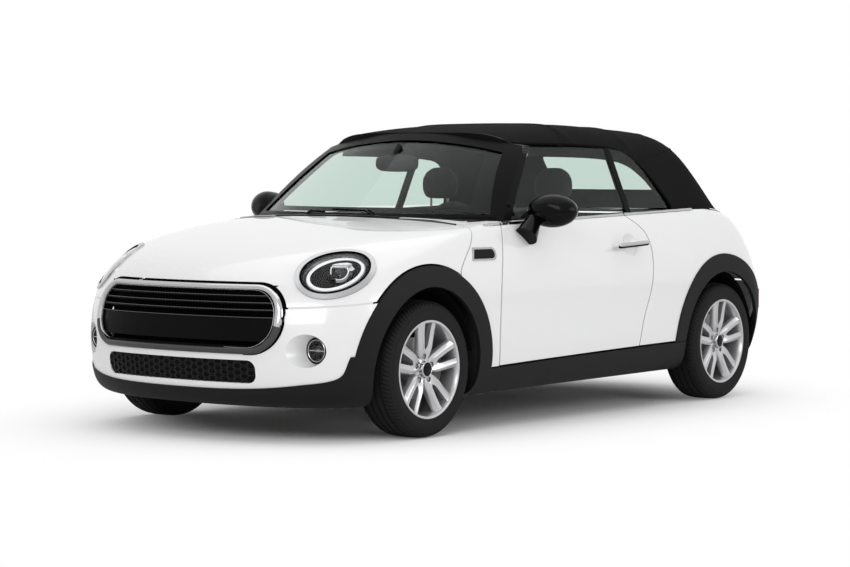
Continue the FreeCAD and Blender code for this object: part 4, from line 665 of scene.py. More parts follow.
roof = build("roof_fabric", roof_mesh(), FABRIC, sharp=40)
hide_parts("soft_top")
ROOF_TREE = BVHTree.FromPolygons([v.co.copy() for v in roof.data.vertices],
                                 [list(f.vertices) for f in roof.data.polygons])


def on_roof(points, count):
    """Places and normals along a smooth line laid on the roof."""
    path, ups = [], []
    for place in spline_curve(points, count):
        outside = place + (place - Vector((0, place.y * 0.5, 0.75))).normalized() * 0.25
        near, normal = hit(ROOF_TREE, outside, place - outside)
        if near is None:
            near, normal, _, _ = ROOF_TREE.find_nearest(place)
        path.append(near)
        ups.append(normal)
    return path, ups


GLASS_OUT, GLASS_LEVEL, GLASS_LEAN = 0.742, 0.972, 0.4167


def side_glass_x(z):
    """How far out the side glass is at a height."""
    return GLASS_OUT - (z - GLASS_LEVEL) * GLASS_LEAN


SEAM_SECTION = mirrored(((-0.008, -0.003), (-0.007, 0.0012), (-0.004, 0.0024)))
SIDE_SEAL = mirrored(((-0.011, -0.01), (-0.011, 0.0015), (-0.008, 0.0035)))
REAR_SEAL = mirrored(((-0.01, -0.01), (-0.01, 0.001), (-0.007, 0.003)))
LINER_IN, LINER_DROP, LINER_THICK = 0.03, 0.062, 0.006
HALF_SEAMS = (
    ((0.66, 0.19, 1.29), (0.6, 0.246, 1.324), (0.41, 0.36, 1.4), (0.2, 0.385, 1.42), (0, 0.39, 1.43)),
    ((0.66, 0.84, 1.2), (0.62, 0.87, 1.251), (0.25, 1.3, 1.38), (0.12, 1.335, 1.395), (0, 1.34, 1.4)),
)
SIDE_SEAM = ((0.63, 0.87, 1.25), (0.6, 1.0, 1.27), (0.56, 1.2, 1.29), (0.5, 1.369, 1.306),
             (0.47, 1.42, 1.28), (0.46, 1.47, 1.18), (0.5, 1.52, 1.08), (0.54, 1.55, 1.0))


def window_edge(side):
    """Places and normals on the fabric along the top of one side's windows."""
    path, ups = [], []
    for y, z in WINDOW_LINE + [(WINDOW_REAR_EDGE + 0.004, 1.0)]:
        place, normal = from_side(ROOF_TREE, y, z + 0.006, side)
        path.append(place or Vector((side * (side_glass_x(z) + 0.004), y, z)))
        ups.append(normal or Vector((side * 0.92, 0, 0.38)))
    return path, ups


def roof_lining(side, path):
    """A strip of lining hung inside the fabric along the windows' top edge."""
    rows = []
    for place in path[::2]:
        rear = between(place.y, (0.62, 0.9), (0, 1))
        top = place + Vector((-side * LINER_IN, 0.045 * rear, -0.004 + 0.016 * rear))
        back = LINER_DROP * 1.45 * between(place.y, (0.6, 1.1), (0, 1))
        down = LINER_DROP * between(place.y, (0.7, 1.15), (1, 0.45))
        foot = top + Vector((side * LINER_DROP * 0.35, -back, -down))
        inward = Vector((side * LINER_THICK, 0, 0))
        rows.append([top, foot, foot - inward, top - inward][::side])
    return loft(rows)


for count, half_seam in enumerate(HALF_SEAMS):
    path, ups = on_roof([*half_seam, *((-x, y, z) for x, y, z in half_seam[-2::-1])], 90)
    build(f"roof_seam_{count + 1}", sweep(path, SEAM_SECTION, ups), FABRIC)
for side, label in SIDES:
    path, ups = on_roof([(side * x, y, z) for x, y, z in SIDE_SEAM], 70)
    build(f"roof_side_seam_{label}", sweep(path, SEAM_SECTION, ups), FABRIC)
    path, ups = window_edge(side)
    build(f"window_seal_{label}", sweep(path, SIDE_SEAL, ups), SEAL)
    build(f"roof_lining_{label}", roof_lining(side, path), FELT)
path, ups = [], []
for x, z in rounded(REAR_WINDOW_HALF + 0.004, REAR_WINDOW_LOW - 0.004, REAR_WINDOW_HIGH + 0.004, 0.064,
                    steps=12):
    place, normal = from_behind(ROOF_TREE, x, z)
    if place is None or place.y < 1.2:
        place = path[-1] if path else Vector((x, 1.45, z))
        normal = ups[-1] if ups else Vector((0, 0.8, 0.6))
    path.append(place)
    ups.append(normal)
build("rear_window_seal", sweep(path, REAR_SEAL, ups, closed=True), SEAL)

# Middle pillar strips between door glass and quarter glass.
PILLAR_Y, PILLAR_HALF = 0.5935, 0.022
PILLAR_SECTION = ((0.003, -PILLAR_HALF), (0.003, PILLAR_HALF), (-0.016, PILLAR_HALF), (-0.016, -PILLAR_HALF))
PILLAR_RINGS = [[(side_glass_x(z) + out, PILLAR_Y + along, z) for out, along in PILLAR_SECTION]
                for z in (0.96, 1.304)]
build_pair("pillar_strip", loft(PILLAR_RINGS), SATIN_BLACK)

# Headlamps: a dark bowl with a ring light, a round projector and two bright visors; the visor and the D
# outline round the projector are chrome given a plain pale colour, a painted reflection.
LAMP_CENTRE = Vector((0.666, -1.5915, 0.7525))
LAMP_NORMAL = Vector((0.42, -0.66, 0.62)).normalized()
LAMP_ACROSS = -LAMP_NORMAL.cross(Vector((0, 0, 1))).normalized()
LAMP_ACROSS = LAMP_ACROSS if LAMP_ACROSS.x > 0 else -LAMP_ACROSS
LAMP_UP = LAMP_NORMAL.cross(LAMP_ACROSS)
LAMP_UP = LAMP_UP if LAMP_UP.z > 0 else -LAMP_UP
LAMP_TURN = math.radians(35)
LONG_WAY = LAMP_ACROSS * math.cos(LAMP_TURN) + LAMP_UP * math.sin(LAMP_TURN)
SHORT_WAY = LAMP_NORMAL.cross(LONG_WAY)
LAMP_LONG, LAMP_SHORT = 0.19, 0.141
LAMP_TREE = skin_tree("lamp_lenses")


def lens_fit():
    """The lens face as a smooth quadratic height over the lamp's plane."""
    rows, heights = [], []
    for cosine, sine in circle(24):
        for reach in (0.2, 0.45, 0.7):
            a, b = LAMP_LONG * reach * cosine, LAMP_SHORT * reach * sine
            start = LAMP_CENTRE + LONG_WAY * a + SHORT_WAY * b + LAMP_NORMAL * 0.4
            place, _ = hit(LAMP_TREE, start, -LAMP_NORMAL)
            if place:
                rows.append((1, a, b, a * a, a * b, b * b))
                heights.append((place - LAMP_CENTRE).dot(LAMP_NORMAL))
    return numpy.linalg.lstsq(numpy.array(rows), numpy.array(heights), rcond=None)[0]


LENS_FIT = lens_fit()


def lamp_place(a, b, depth):
    """A point at a place on the lamp's face, along its long and short ways, and a depth from the lens."""
    height = sum(c * term for c, term in zip(LENS_FIT, (1, a, b, a * a, a * b, b * b)))
    return LAMP_CENTRE + LONG_WAY * a + SHORT_WAY * b + LAMP_NORMAL * (height + depth)


def lamp_ring(section):
    """A ring round the lamp through (margin, depth) pairs of its section."""
    return looped([[lamp_place((LAMP_LONG - margin) * cosine, (LAMP_SHORT - margin) * sine, depth)
                    for margin, depth in section] for cosine, sine in circle(96)])


PROJECTOR_BASE = lamp_place(0, 0, 0) + LAMP_ACROSS * 0.016 + LAMP_UP * 0.004


def lamp_point(across, up, depth):
    """A point beside the projector's middle, in the lamp's upright axes."""
    return PROJECTOR_BASE + LAMP_ACROSS * across + LAMP_UP * up + LAMP_NORMAL * depth


def lamp_disc(profile):
    """A turned piece about the projector through (radius, depth) pairs."""
    return looped([[lamp_point(r * cosine, r * sine, depth) for r, depth in profile]
                   for cosine, sine in circle(64)])


def lamp_plate(outline, front, back):
    """A facet of the reflector: an outline of (across, up, extra depth) from its front to its back."""
    return loft([[lamp_point(a, b, front + d) for a, b, d in outline],
                 [lamp_point(a, b, back) for a, b, d in outline]])


D_OUTLINE = [(-0.038, 0.004), (-0.038, 0.024), (-0.033, 0.03), (0.026, 0.03), (0.032, 0.025), (0.038, 0.004)]
D_OUTLINE += [(0.038 * math.cos(math.radians(a)), 0.004 + 0.044 * math.sin(math.radians(a)))
              for a in range(-12, -180, -12)]
D_PATH = [lamp_point(a, b, -0.024) for a, b in D_OUTLINE]
D_SECTION = mirrored(((-0.0022, -0.02), (-0.0022, 0.001), (0, 0.002)))
for name, part, material in (
        ("gap", lamp_ring(((0.0275, -0.001), (0.0345, -0.001), (0.035, -0.012), (0.027, -0.012))), SEAL),
        ("bevel", lamp_ring(((0.0345, -0.006), (0.04, -0.011), (0.048, -0.025), (0.053, -0.029),
                             (0.054, -0.034), (0.0345, -0.034))), LAMP_BEVEL),
        ("light_ring", lamp_ring(((0.053, -0.023), (0.056, -0.019), (0.064, -0.018), (0.071, -0.022),
                                  (0.073, -0.034), (0.053, -0.034))), PALE_LENS_AND_PAINTED_REFLECTION),
        ("bowl", lamp_ring(((0.072, -0.03), (0.082, -0.046), (0.1, -0.056), (0.139, -0.058),
                            (0.139, -0.062), (0.072, -0.06))), LAMP_DARK),
        # The D outline round the projector is chrome drawn pale: its colour is a painted reflection.
        ("projector_outline", sweep(D_PATH, D_SECTION, [LAMP_NORMAL] * len(D_PATH), closed=True),
         PALE_LENS_AND_PAINTED_REFLECTION),
        ("projector_lens", lamp_disc(((0.0, -0.022), (0.01, -0.023), (0.02, -0.026), (0.0265, -0.031),
                                      (0.028, -0.036), (0.028, -0.05), (0.0, -0.05))), PROJECTOR),
        ("projector_seat", lamp_disc(((0.0285, -0.05), (0.029, -0.034), (0.034, -0.034), (0.036, -0.052))),
         LAMP_DARK),
        # The visor is chrome drawn pale: its colour is a painted reflection.
        ("visor", lamp_plate(((-0.034, 0.032, 0), (0.026, 0.032, 0.002), (0.05, 0.044, -0.006),
                              (0.03, 0.056, -0.014), (-0.004, 0.053, -0.014), (-0.024, 0.042, -0.006)),
                             -0.016, -0.05), PALE_LENS_AND_PAINTED_REFLECTION),
        ("facet_upper", lamp_plate(((0.032, 0.03, -0.004), (0.05, 0.04, -0.01), (0.064, 0.026, -0.012),
                                    (0.054, 0.012, -0.006), (0.04, 0.006, -0.002)), -0.024, -0.052),
         SATIN_CHROME),
        ("facet_lower", lamp_plate(((0.041, 0.004, -0.002), (0.054, 0.01, -0.008), (0.05, -0.01, -0.01),
                                    (0.04, -0.018, -0.004)), -0.026, -0.052), LAMP_BEVEL)):
    build_pair(f"headlamp_{name}", part, material)

# Grille: a bright crowned ring above and a dark one below, vanes, ribs and a honeycomb lower opening.
GRILLE_TREE = skin_tree("grille_frame")
SLAT_TREE = skin_tree("grilles")
GRILLE_HALF, GRILLE_LOW, GRILLE_HIGH = 0.557, 0.3893, 0.6896
RING_CROWN = ((0.0, -0.01), (0.0, 0.0), (0.12, 0.005), (0.32, 0.0085), (0.5, 0.0095), (0.68, 0.0085),
              (0.88, 0.005), (1.0, 0.0), (1.0, -0.01))
LINE_CROWN = ((0.0, -0.008), (0.0, 0.002), (0.3, 0.0045), (0.7, 0.0045), (1.0, 0.002), (1.0, -0.008))
GAP_CROWN = ((0.0, -0.0085), (1.0, -0.0085), (1.0, -0.012), (0.0, -0.012))
RIM_CROWN = ((0.0, -0.012), (0.0, 0.0005), (0.5, -0.003), (1.0, -0.009), (1.0, -0.012))
RING_SPLIT = {True: 0.514, False: 0.505}
STEEPEST, LARGEST_JUMP = -0.35, 0.05


def nose_ring(half, low, high, corner, widths, crown, tree):
    """A crowned ring on the nose: its width at the sides, top and bottom, laid on a tree's surface."""
    side_width, top_width, low_width = widths
    outline = rounded(half, low, high, corner, steps=20)
    count = len(outline)
    rings, last, last_normal = [], None, None
    for k, (x, z) in enumerate(outline):
        ahead, behind = outline[(k + 1) % count], outline[k - 1]
        along = Vector((ahead[0] - behind[0], ahead[1] - behind[1])).normalized()
        inward = Vector((-along.y, along.x))
        end_width = low_width if inward.y > 0 else top_width
        width = side_width + (end_width - side_width) * abs(inward.y) ** 1.5
        middle = Vector((x, z)) + inward * width / 2
        place, normal = from_front(tree, middle.x, middle.y)
        if place is None or normal.y > STEEPEST or (last and abs(place.y - last.y) > LARGEST_JUMP):
            near, _, _, _ = tree.find_nearest(Vector((middle.x, last.y if last else -1.9, middle.y)))
            place = Vector((middle.x, near.y, middle.y))
            normal = last_normal if last else Vector((0, -1, 0))
        last, last_normal = place, normal
        across = Vector((inward.x, 0, inward.y))
        across = (across - normal * across.dot(normal)).normalized()
        rings.append([place + across * (share - 0.5) * width + normal * height for share, height in crown])
    return looped(rings)


ring = build("grille_ring", nose_ring(GRILLE_HALF - 0.0005, GRILLE_LOW + 0.0005, GRILLE_HIGH - 0.0005,
                                      0.1408, (0.0365, 0.025, 0.027), RING_CROWN, GRILLE_TREE), CHROME)
ring.data.materials.append(RING_DARK)
for face in ring.data.polygons:
    face.material_index = int(face.center.z < RING_SPLIT[face.center.x > 0])
build("grille_inner_line", nose_ring(GRILLE_HALF - 0.036, GRILLE_LOW + 0.0265, GRILLE_HIGH - 0.0245, 0.114,
                                     (0.0035, 0.003, 0.0035), LINE_CROWN, GRILLE_TREE), SATIN_CHROME)
build("grille_gap", nose_ring(GRILLE_HALF + 0.0035, GRILLE_LOW - 0.0035, GRILLE_HIGH + 0.0035, 0.1445,
                              (0.004, 0.004, 0.004), GAP_CROWN, GRILLE_TREE), SEAL)


def across_nose(level, half, back=0.0, rise=0.0):
    """Points across the nose on the slats' faces at a level, moved back and up."""
    path = []
    for x in evenly(-half, half, 40):
        place, _ = from_front(SLAT_TREE, x, level)
        if place is not None:
            path.append(place + Vector((0, back, rise)))
    return path


def nose_bars(levels, section, back=0.0, rise=0.0):
    """Bars across the grille, one for each (level, half width)."""
    paths = [across_nose(level, half, back, rise) for level, half in levels]
    return joined([sweep(path, section, [(0, -1, 0)] * len(path)) for path in paths])


VANE_SECTION = mirrored(((-0.0045, -0.004), (-0.0045, 0.004), (-0.0035, 0.0065), (0.0, 0.008)))
EDGE_SECTION = mirrored(((-0.0011, -0.002), (-0.0011, 0.0012)))
RIB_PITCH, RIB_LEVEL, RIBS_EACH_SIDE = 0.018, 0.6065, 26
BACKING_END = 0.045
BACKING_SECTION = ((0.05, 0.4), (0.05, 0.684), (0.057, 0.684), (0.057, 0.4))
build("grille_vanes", nose_bars(((0.6365, 0.47), (0.6065, 0.5), (0.5765, 0.515)), VANE_SECTION), GRILLE_DARK)
ribs = []
for k in range(-RIBS_EACH_SIDE, RIBS_EACH_SIDE + 1):
    place, _ = from_front(SLAT_TREE, RIB_PITCH * k, RIB_LEVEL)
    if place is not None:
        ribs.append(block(RIB_PITCH * k, place.y + 0.03, 0.608, 0.0016, 0.004, 0.052))
build("grille_ribs", joined(ribs), GRILLE_DARK)
build("grille_vane_edges", nose_bars(((0.6365, 0.468), (0.6065, 0.498), (0.5765, 0.512), (0.544, 0.518)),
                                     EDGE_SECTION, -0.0072, 0.0036), VANE_LIGHT)
backing = across_nose(0.5, 0.545)
backing = [backing[0] + Vector((-BACKING_END, BACKING_END, 0)), *backing,
           backing[-1] + Vector((BACKING_END, BACKING_END, 0))]
build("grille_backing", loft([[(p.x, p.y + back, z) for back, z in BACKING_SECTION] for p in backing]), SEAL)
INTAKE_HALF, INTAKE_LOW, INTAKE_HIGH = 0.4385, 0.264, 0.3625
INTAKE_MIDDLE = 0.5 * (INTAKE_LOW + INTAKE_HIGH)
CELL_WIDE, CELL_TALL = 0.043, 0.03
CELL_RISE = CELL_TALL * 0.577 * 0.866


def cell_ring(middle_x, middle_z, scale, depth):
    """A six-sided ring of a cell, cut off at the opening's edge, or None where the nose ends."""
    ring = []
    for cosine, sine in circle(6):
        x = max(-INTAKE_HALF, min(INTAKE_HALF, middle_x + CELL_WIDE * 0.5 * scale * cosine))
        z = max(INTAKE_LOW, min(INTAKE_HIGH, middle_z + CELL_RISE * scale * sine))
        place, _ = from_front(SLAT_TREE, x * 0.995, INTAKE_MIDDLE + (z - INTAKE_MIDDLE) * 0.96)
        if place is None:
            return None
        ring.append((x, place.y + depth, z))
    return ring


def honeycomb():
    """Raised six-sided cells over the lower opening."""
    parts = []
    columns = int(INTAKE_HALF / CELL_WIDE) + 2
    for row in range(-1, int((INTAKE_HIGH - INTAKE_LOW) / (CELL_TALL * 0.5)) + 2):
        for column in range(-columns, columns + 1):
            middle_x = (column + (0.5 if row % 2 else 0.0)) * CELL_WIDE * 1.5
            middle_z = INTAKE_LOW + row * CELL_TALL * 0.5
            rings = [cell_ring(middle_x, middle_z, scale, depth)
                     for scale, depth in ((1.0, -0.004), (0.82, -0.004), (0.76, 0.007))]
            if None in rings:
                continue
            width = max(p[0] for p in rings[0]) - min(p[0] for p in rings[0])
            height = max(p[2] for p in rings[0]) - min(p[2] for p in rings[0])
            if width >= 0.006 and height >= 0.004:
                parts.append(loft(rings, capped=False))
    return joined(parts)


build("lower_grille_cells", honeycomb(), CELL_PLASTIC, sharp=25)
build("lower_grille_rim", nose_ring(0.44, 0.2625, 0.3637, 0.038, (0.0075, 0.0075, 0.0075), RIM_CROWN,
                                    skin_tree("grilles", "front_bumper")), PAINT)

# Bonnet gap: a pale flange behind the line between bonnet and bumper.
BUMPER_TREE = skin_tree("front_bumper")
BUMPER_TOP_LINE = ((-1.9705, -1.8175, -1.4515), (0.5725, 0.5822, 0.6137))
FLANGE_SECTION = mirrored(((-0.01, -0.009), (-0.01, -0.006)))
CORNER_X, CORNER_Y = 0.45, -1.45
FLANGE_INNER, FLANGE_REAR = 0.56, -1.462


def flange_path():
    """Points along the bumper's top edge, from the grille round to the left arch, with outward normals."""
    path, ups = [], []
    for turn in range(-88, -1):
        way = Vector((math.cos(math.radians(turn)), math.sin(math.radians(turn)), 0))
        level, place = 0.59, None
        for _ in range(3):
            place, normal = hit(BUMPER_TREE, Vector((CORNER_X, CORNER_Y, level - 0.004)) + way, -way)
            if place is None:
                break
            level = between(place.y, *BUMPER_TOP_LINE)
        if place is not None and place.x > FLANGE_INNER and place.y < FLANGE_REAR:
            path.append(Vector((place.x, place.y, level + 0.002)))
            ups.append(Vector((normal.x, normal.y, 0)).normalized())
    return path, ups


path, ups = flange_path()
build_pair("bumper_flange", sweep(path, FLANGE_SECTION, ups), PAINT)

# Fog lamps: a bright ring round a cup and a clear domed lens, at the bottom of each pocket.
FOG_FACE = Vector((0.655, -1.7005, 0.4079))
FOG_SPOT = (Matrix.Translation((FOG_FACE.x, FOG_FACE.y + 0.003, FOG_FACE.z))
            @ Matrix.Rotation(-math.pi / 2, 4, "Z"))
for name, profile, material in (
        ("collar", ((-0.002, 0.049), (0.0015, 0.0495), (0.0015, 0.0568), (-0.002, 0.0568)), SEAL),
        ("ring", ((-0.002, 0.044), (0.0035, 0.0445), (0.005, 0.0468), (0.0035, 0.049), (-0.002, 0.049)),
         SATIN_CHROME),
        ("cup", ((-0.042, 0.0), (-0.04, 0.014), (-0.03, 0.028), (-0.014, 0.04), (-0.003, 0.0438),
                 (-0.003, 0.0446), (-0.045, 0.044), (-0.045, 0.0)), LAMP_BEVEL),
        ("bulb", ((-0.04, 0.0), (-0.04, 0.01), (-0.014, 0.01), (-0.008, 0.006), (-0.007, 0.0)), CHROME),
        ("lens", ((0.0005, 0.0), (0.0005, 0.0442), (0.0022, 0.0442), (0.0045, 0.036), (0.0068, 0.02),
                  (0.0075, 0.0)), CLEAR)):
    part = lathe(profile, 56, closed=name in ("collar", "ring"))
    build_pair(f"fog_{name}", placed(part, FOG_SPOT), material)
build_pair("fog_shelf", block(FOG_FACE.x, FOG_FACE.y + 0.01, FOG_FACE.z, 0.043, 0.006, 0.0025), SATIN_CHROME)

# Belt line: a bright strip along the top of wings, doors and quarters, and round the roof's foot.
BELT_STRIP = ((-0.0035, -0.0075), (0.0035, -0.0075), (0.005, -0.0055), (0.005, 0.0045), (0.0035, 0.0065),
              (-0.0035, 0.0065))
BELT_SEAL = ((-0.0035, -0.0098), (0.0022, -0.0098), (0.0022, 0.009), (-0.0035, 0.009))
BELT_TREE = skin_tree("door_left", "quarter_panels", "front_wings")
DOOR_ENDS, QUARTER_ENDS, WING_ENDS = (-0.47, 0.512), (0.522, 1.4), (-0.66, -0.48)
BELT_LEVEL, BELT_SLOPE, BELT_FROM = 0.9385, 0.0335, 0.8
SAIL_OUTLINE = ((-0.462, 0.972), (-0.446, 1.01), (-0.432, 1.03), (-0.415, 1.024), (-0.39, 0.995),
                (-0.372, 0.974))
DECK_GAP = 0.011
DECK_SECTION = mirrored(((-0.0065, -0.002), (-0.0065, 0.002), (-0.003, 0.0045)))


def belt_place(y):
    """Where the outer top edge of the left side is at a place along the car."""
    level = BELT_LEVEL + (y - DOOR_ENDS[0]) * BELT_SLOPE
    for step in range(120):
        place, _ = from_above(BELT_TREE, BELT_FROM - 0.001 * step, y)
        if place is not None and place.z > level:
            return place
    return None


def belt_part(start, end, section=BELT_STRIP):
    """A strip along the belt line between two places along the car."""
    path = []
    for y in evenly(start, end, 60):
        place = belt_place(y)
        if place is not None and (not path or (place - path[-1]).length < 0.08):
            path.append(place)
    middles = [(path[k - 1] + path[k] * 2 + path[k + 1]) / 4 for k in range(1, len(path) - 1)]
    smooth = [path[0], *middles, path[-1]]
    return sweep(smooth, [(b, a) for a, b in section], [Vector((1, 0, 0.5))] * len(smooth))


def side_plate(tree, outline, levels, default, middle_y=0.0):
    """An outline of (y, z) laid on the left skin, through levels of (depth, share drawn to the middle)."""
    rings = []
    for depth, drawn in levels:
        ring = []
        for y, z in outline:
            place, _ = from_side(tree, y, z)
            ring.append(((place.x if place else default) + depth, y + (middle_y - y) * drawn, z))
        rings.append(ring)
    return loft(rings)


for name, ends, body in (("door", DOOR_ENDS, "door"), ("quarter", QUARTER_ENDS, "body")):
    build_pair(f"belt_strip_{name}", belt_part(*ends), CHROME, body)
    build_pair(f"belt_seal_{name}", belt_part(*ends, BELT_SEAL), SEAL, body)
build_pair("belt_strip_wing", belt_part(*WING_ENDS), CHROME)
sail = side_plate(skin_tree("door_glass_left"), SAIL_OUTLINE, ((-0.002, 0), (0.0035, 0)), 0.735)
build_pair("mirror_sail", sail, SATIN_BLACK, "door")
path, ups = [], []
roof_edges = [roof_place(0.78 + 0.22 * k / 40, 0.0) for k in range(40)]
roof_edges += [roof_place(1.0, across) for across in evenly(0, 1, 120)]
roof_edges += [roof_place(1.0 - 0.22 * k / 40, 1.0) for k in range(1, 41)]
for edge in roof_edges:
    away = Vector((edge.x, edge.y - 0.9, 0)).normalized() * DECK_GAP
    near, normal = from_above(BELT_TREE, edge.x + away.x, edge.y + away.y)
    if near is not None and abs(near.z - edge.z) < 0.05:
        path.append(near)
        ups.append(normal)
build("deck_strip", sweep(path, DECK_SECTION, ups), CHROME)
build("deck_seal", sweep(path, [(a * 1.5, min(b, 0.0008)) for a, b in DECK_SECTION], ups), SEAL)

# Windscreen base: a bright strip behind the bonnet, a black scuttle with wipers, and a hem over the header.
COWL_TREE = skin_tree("windscreen_frame", "front_wings", "bonnet")
COWL_SECTION = mirrored(((-0.0075, -0.002), (-0.0075, 0.0025), (-0.005, 0.005)))
WIPER_SECTION = mirrored(((-0.005, -0.004), (-0.005, 0.004)))
HEM_SECTION = ((-0.0015, 0.0012), (-0.0035, -0.006), (-0.002, -0.024), (0.016, -0.024), (0.016, 0.0012))


SCREEN_MIDDLE, SCREEN_HALF, SCREEN_BOW = -0.7865, 0.748, 0.285
STRIP_MIDDLE, STRIP_HALF, STRIP_BOW = -0.836, 0.69, 0.125


def glass_foot(x):
    """How far back the foot of the windscreen is."""
    return SCREEN_MIDDLE + (x / SCREEN_HALF) ** 2 * SCREEN_BOW


def cowl_point(x, share):
    """A point between the bright strip and the foot of the glass, on the skin."""
    strip_y = STRIP_MIDDLE + (x / STRIP_HALF) ** 2 * STRIP_BOW + max(0.0, abs(x) - STRIP_HALF) * 3.2
    height = 1.0 if share < 0.5 else 0.975
    return from_above(COWL_TREE, x, strip_y + (glass_foot(x) - strip_y) * share, height)


def scuttle():
    """The plate between the bright strip and the glass."""
    rows = []
    for x in evenly(-0.735, 0.735, 60):
        places = [cowl_point(x, share)[0] or Vector((x, glass_foot(x), 0.955))
                  for share in (0.05, 0.35, 0.65, 1.0)]
        row = [place + Vector((0, 0, 0.0035)) for place in places]
        rows.append(row + [p - Vector((0, 0, 0.007)) for p in reversed(row)])
    return loft(rows)


def wiper(start_x, end_x):
    """A wiper lying along the foot of the glass: its arm and its blade."""
    blade, arm = [], []
    for k, x in enumerate(evenly(start_x, end_x, 24)):
        place, _ = cowl_point(x, 0.75)
        if place is None:
            continue
        blade.append(place + Vector((0, 0.01 + 0.02 * k / 24, 0.016 + 0.01 * k / 24)))
        if k >= 6:
            arm.append(place + Vector((0, -0.03 + 0.03 * (k - 6) / 18, 0.016 + 0.012 * k / 24)))
    return joined([sweep(path, WIPER_SECTION, [(0, 0, 1)] * len(path)) for path in (blade, arm)])


cowl = [cowl_point(x, 0.0) for x in evenly(-0.752, 0.752, 80)]
cowl = [(p, n) for p, n in cowl if p is not None and p.z < 0.96 and abs(p.x) < 0.7]
build("cowl_strip", sweep([p for p, n in cowl], COWL_SECTION, [n for p, n in cowl]), CHROME)
build("scuttle", scuttle(), SATIN_BLACK)
build("wipers", joined([wiper(0.58, -0.02), wiper(-0.08, -0.62)]), SATIN_BLACK)
build("header_hem", loft([[top + Vector((0, back, rise)) for back, rise in HEM_SECTION] for top in
                          [roof_place(0.0, across) for across in evenly(0.2, 0.8, 80)]]), SATIN_BLACK)

# Doors: a bright grip over each handle bar, with a black half-bar under it as painted shade. Wings: a dark
# insert in a bright surround.
WING_TREE = skin_tree("front_wings", "bonnet")
GRIP_START, GRIP_RUN = Vector((0.874, 0.3165, 0.8227)), Vector((0, 0.249, 0.0113))
GRIP_SIZES = ((-0.012, 0.006), (0.0, 0.0095), (0.04, 0.0108), (0.5, 0.0112), (0.96, 0.0108), (1.0, 0.0095),
              (1.012, 0.006))


def grip(wide, tall, drop):
    """A bar along the door handle: its size at each share of the run is scaled in width and height."""
    return loft([[GRIP_START + GRIP_RUN * share
                  + Vector((size * wide * cosine, 0, size * (tall * sine - drop)))
                  for cosine, sine in circle(20)] for share, size in GRIP_SIZES])


def wing_plate(inset, out, back):
    """The side insert's outline, moved inwards, as a plate that follows the wing."""
    outline = [(-0.838 + inset * 1.2, 0.777 + inset), (-0.822 + inset * 1.2, 0.836 - inset)]
    radius = 0.0295 - inset
    for turn in evenly(math.pi / 2, -math.pi / 2, 12):
        outline.append((-0.68 - inset * 0.9 + radius * math.cos(turn), 0.8065 + radius * math.sin(turn)))
    return side_plate(WING_TREE, outline, ((back, 0), (out * 0.6, 0), (out, 0.02)), 0.832, -0.745)


build_pair("door_grip", grip(0.92, 1.12, 0.0), CHROME, "door")
# A black half-bar under each grip, a little wider and lower than it: painted shade on the handle's
# underside.
build_pair("door_grip_painted_shade", grip(0.98, 0.62, 0.62), SATIN_BLACK, "door")
build_pair("wing_surround", wing_plate(0.0, 0.0045, -0.002), SATIN_CHROME)
build_pair("wing_insert", wing_plate(0.0085, 0.0062, 0.001), GLOSS_BLACK)

# Seats: cushions, backs and headrests as inflated covers over rounded forms.
COVER_STEPS, COVER_PRESSURE, COVER_MESH = 12, 4.0, 0.012
SEAT_X, SEAT_Y, BENCH_X, BENCH_Y = 0.36, 0.135, 0.262, 0.835
BACK_LEAN = -0.12
ROD_X, ROD_Y, ROD_Z = 0.055, 0.472, 1.01
BASE_RINGS = ((0.215, 0.19, 0.235), (0.23, 0.215, 0.262), (0.3, 0.232, 0.285), (0.345, 0.23, 0.285),
              (0.372, 0.215, 0.268), (0.378, 0.18, 0.235))
BACK_RINGS = ((0.375, 0.38, 0.18, 0.04), (0.385, 0.42, 0.225, 0.06), (0.398, 0.56, 0.236, 0.064),
              (0.418, 0.76, 0.232, 0.058), (0.436, 0.9, 0.205, 0.05), (0.446, 0.975, 0.165, 0.042),
              (0.45, 1.006, 0.11, 0.028))
HEAD_RINGS = ((0.478, 1.042, 0.072, 0.03), (0.478, 1.058, 0.098, 0.04), (0.478, 1.1, 0.111, 0.045),
              (0.479, 1.145, 0.108, 0.044), (0.48, 1.18, 0.085, 0.036), (0.481, 1.202, 0.045, 0.022))
BENCH_RINGS = ((0.3, 0.215, 0.09), (0.33, 0.24, 0.108), (0.43, 0.245, 0.112), (0.462, 0.225, 0.095))


def section_ring(middle, half_x, half_y, power=3.2, lean=0.0):
    """A rounded rectangular ring about a middle, tilted about X by a lean."""
    ring = []
    for cosine, sine in circle(28):
        a = half_x * math.copysign(abs(cosine) ** (2 / power), cosine)
        b = half_y * math.copysign(abs(sine) ** (2 / power), sine)
        ring.append(Vector(middle) + Vector((a, b * math.cos(lean), b * math.sin(lean))))
    return ring


def inflated(piece, limit):
    """The mesh of a cover blown up a little as cloth, no point moved further than a limit."""
    start = [v.co.copy() for v in piece.data.vertices]
    cloth = piece.modifiers.new("cover", "CLOTH")
    cloth.settings.use_pressure = True
    cloth.settings.uniform_pressure_force = COVER_PRESSURE
    cloth.settings.effector_weights.gravity = 0.0
    cloth.settings.quality = 3
    for frame_number in range(1, COVER_STEPS + 1):
        bpy.context.scene.frame_set(frame_number)
    swollen = settled(piece)
    bpy.context.scene.frame_set(1)
    piece.modifiers.clear()
    for vertex, place in zip(swollen.vertices, start):
        move = vertex.co - place
        vertex.co = place + (move.normalized() * limit if move.length > limit else move)
    return swollen


def soften(data):
    """Evens out the steps that remeshing leaves."""
    work = bmesh.new()
    work.from_mesh(data)
    bmesh.ops.smooth_vert(work, verts=work.verts, factor=0.5, use_axis_x=True, use_axis_y=True,
                          use_axis_z=True)
    work.to_mesh(data)
    work.free()


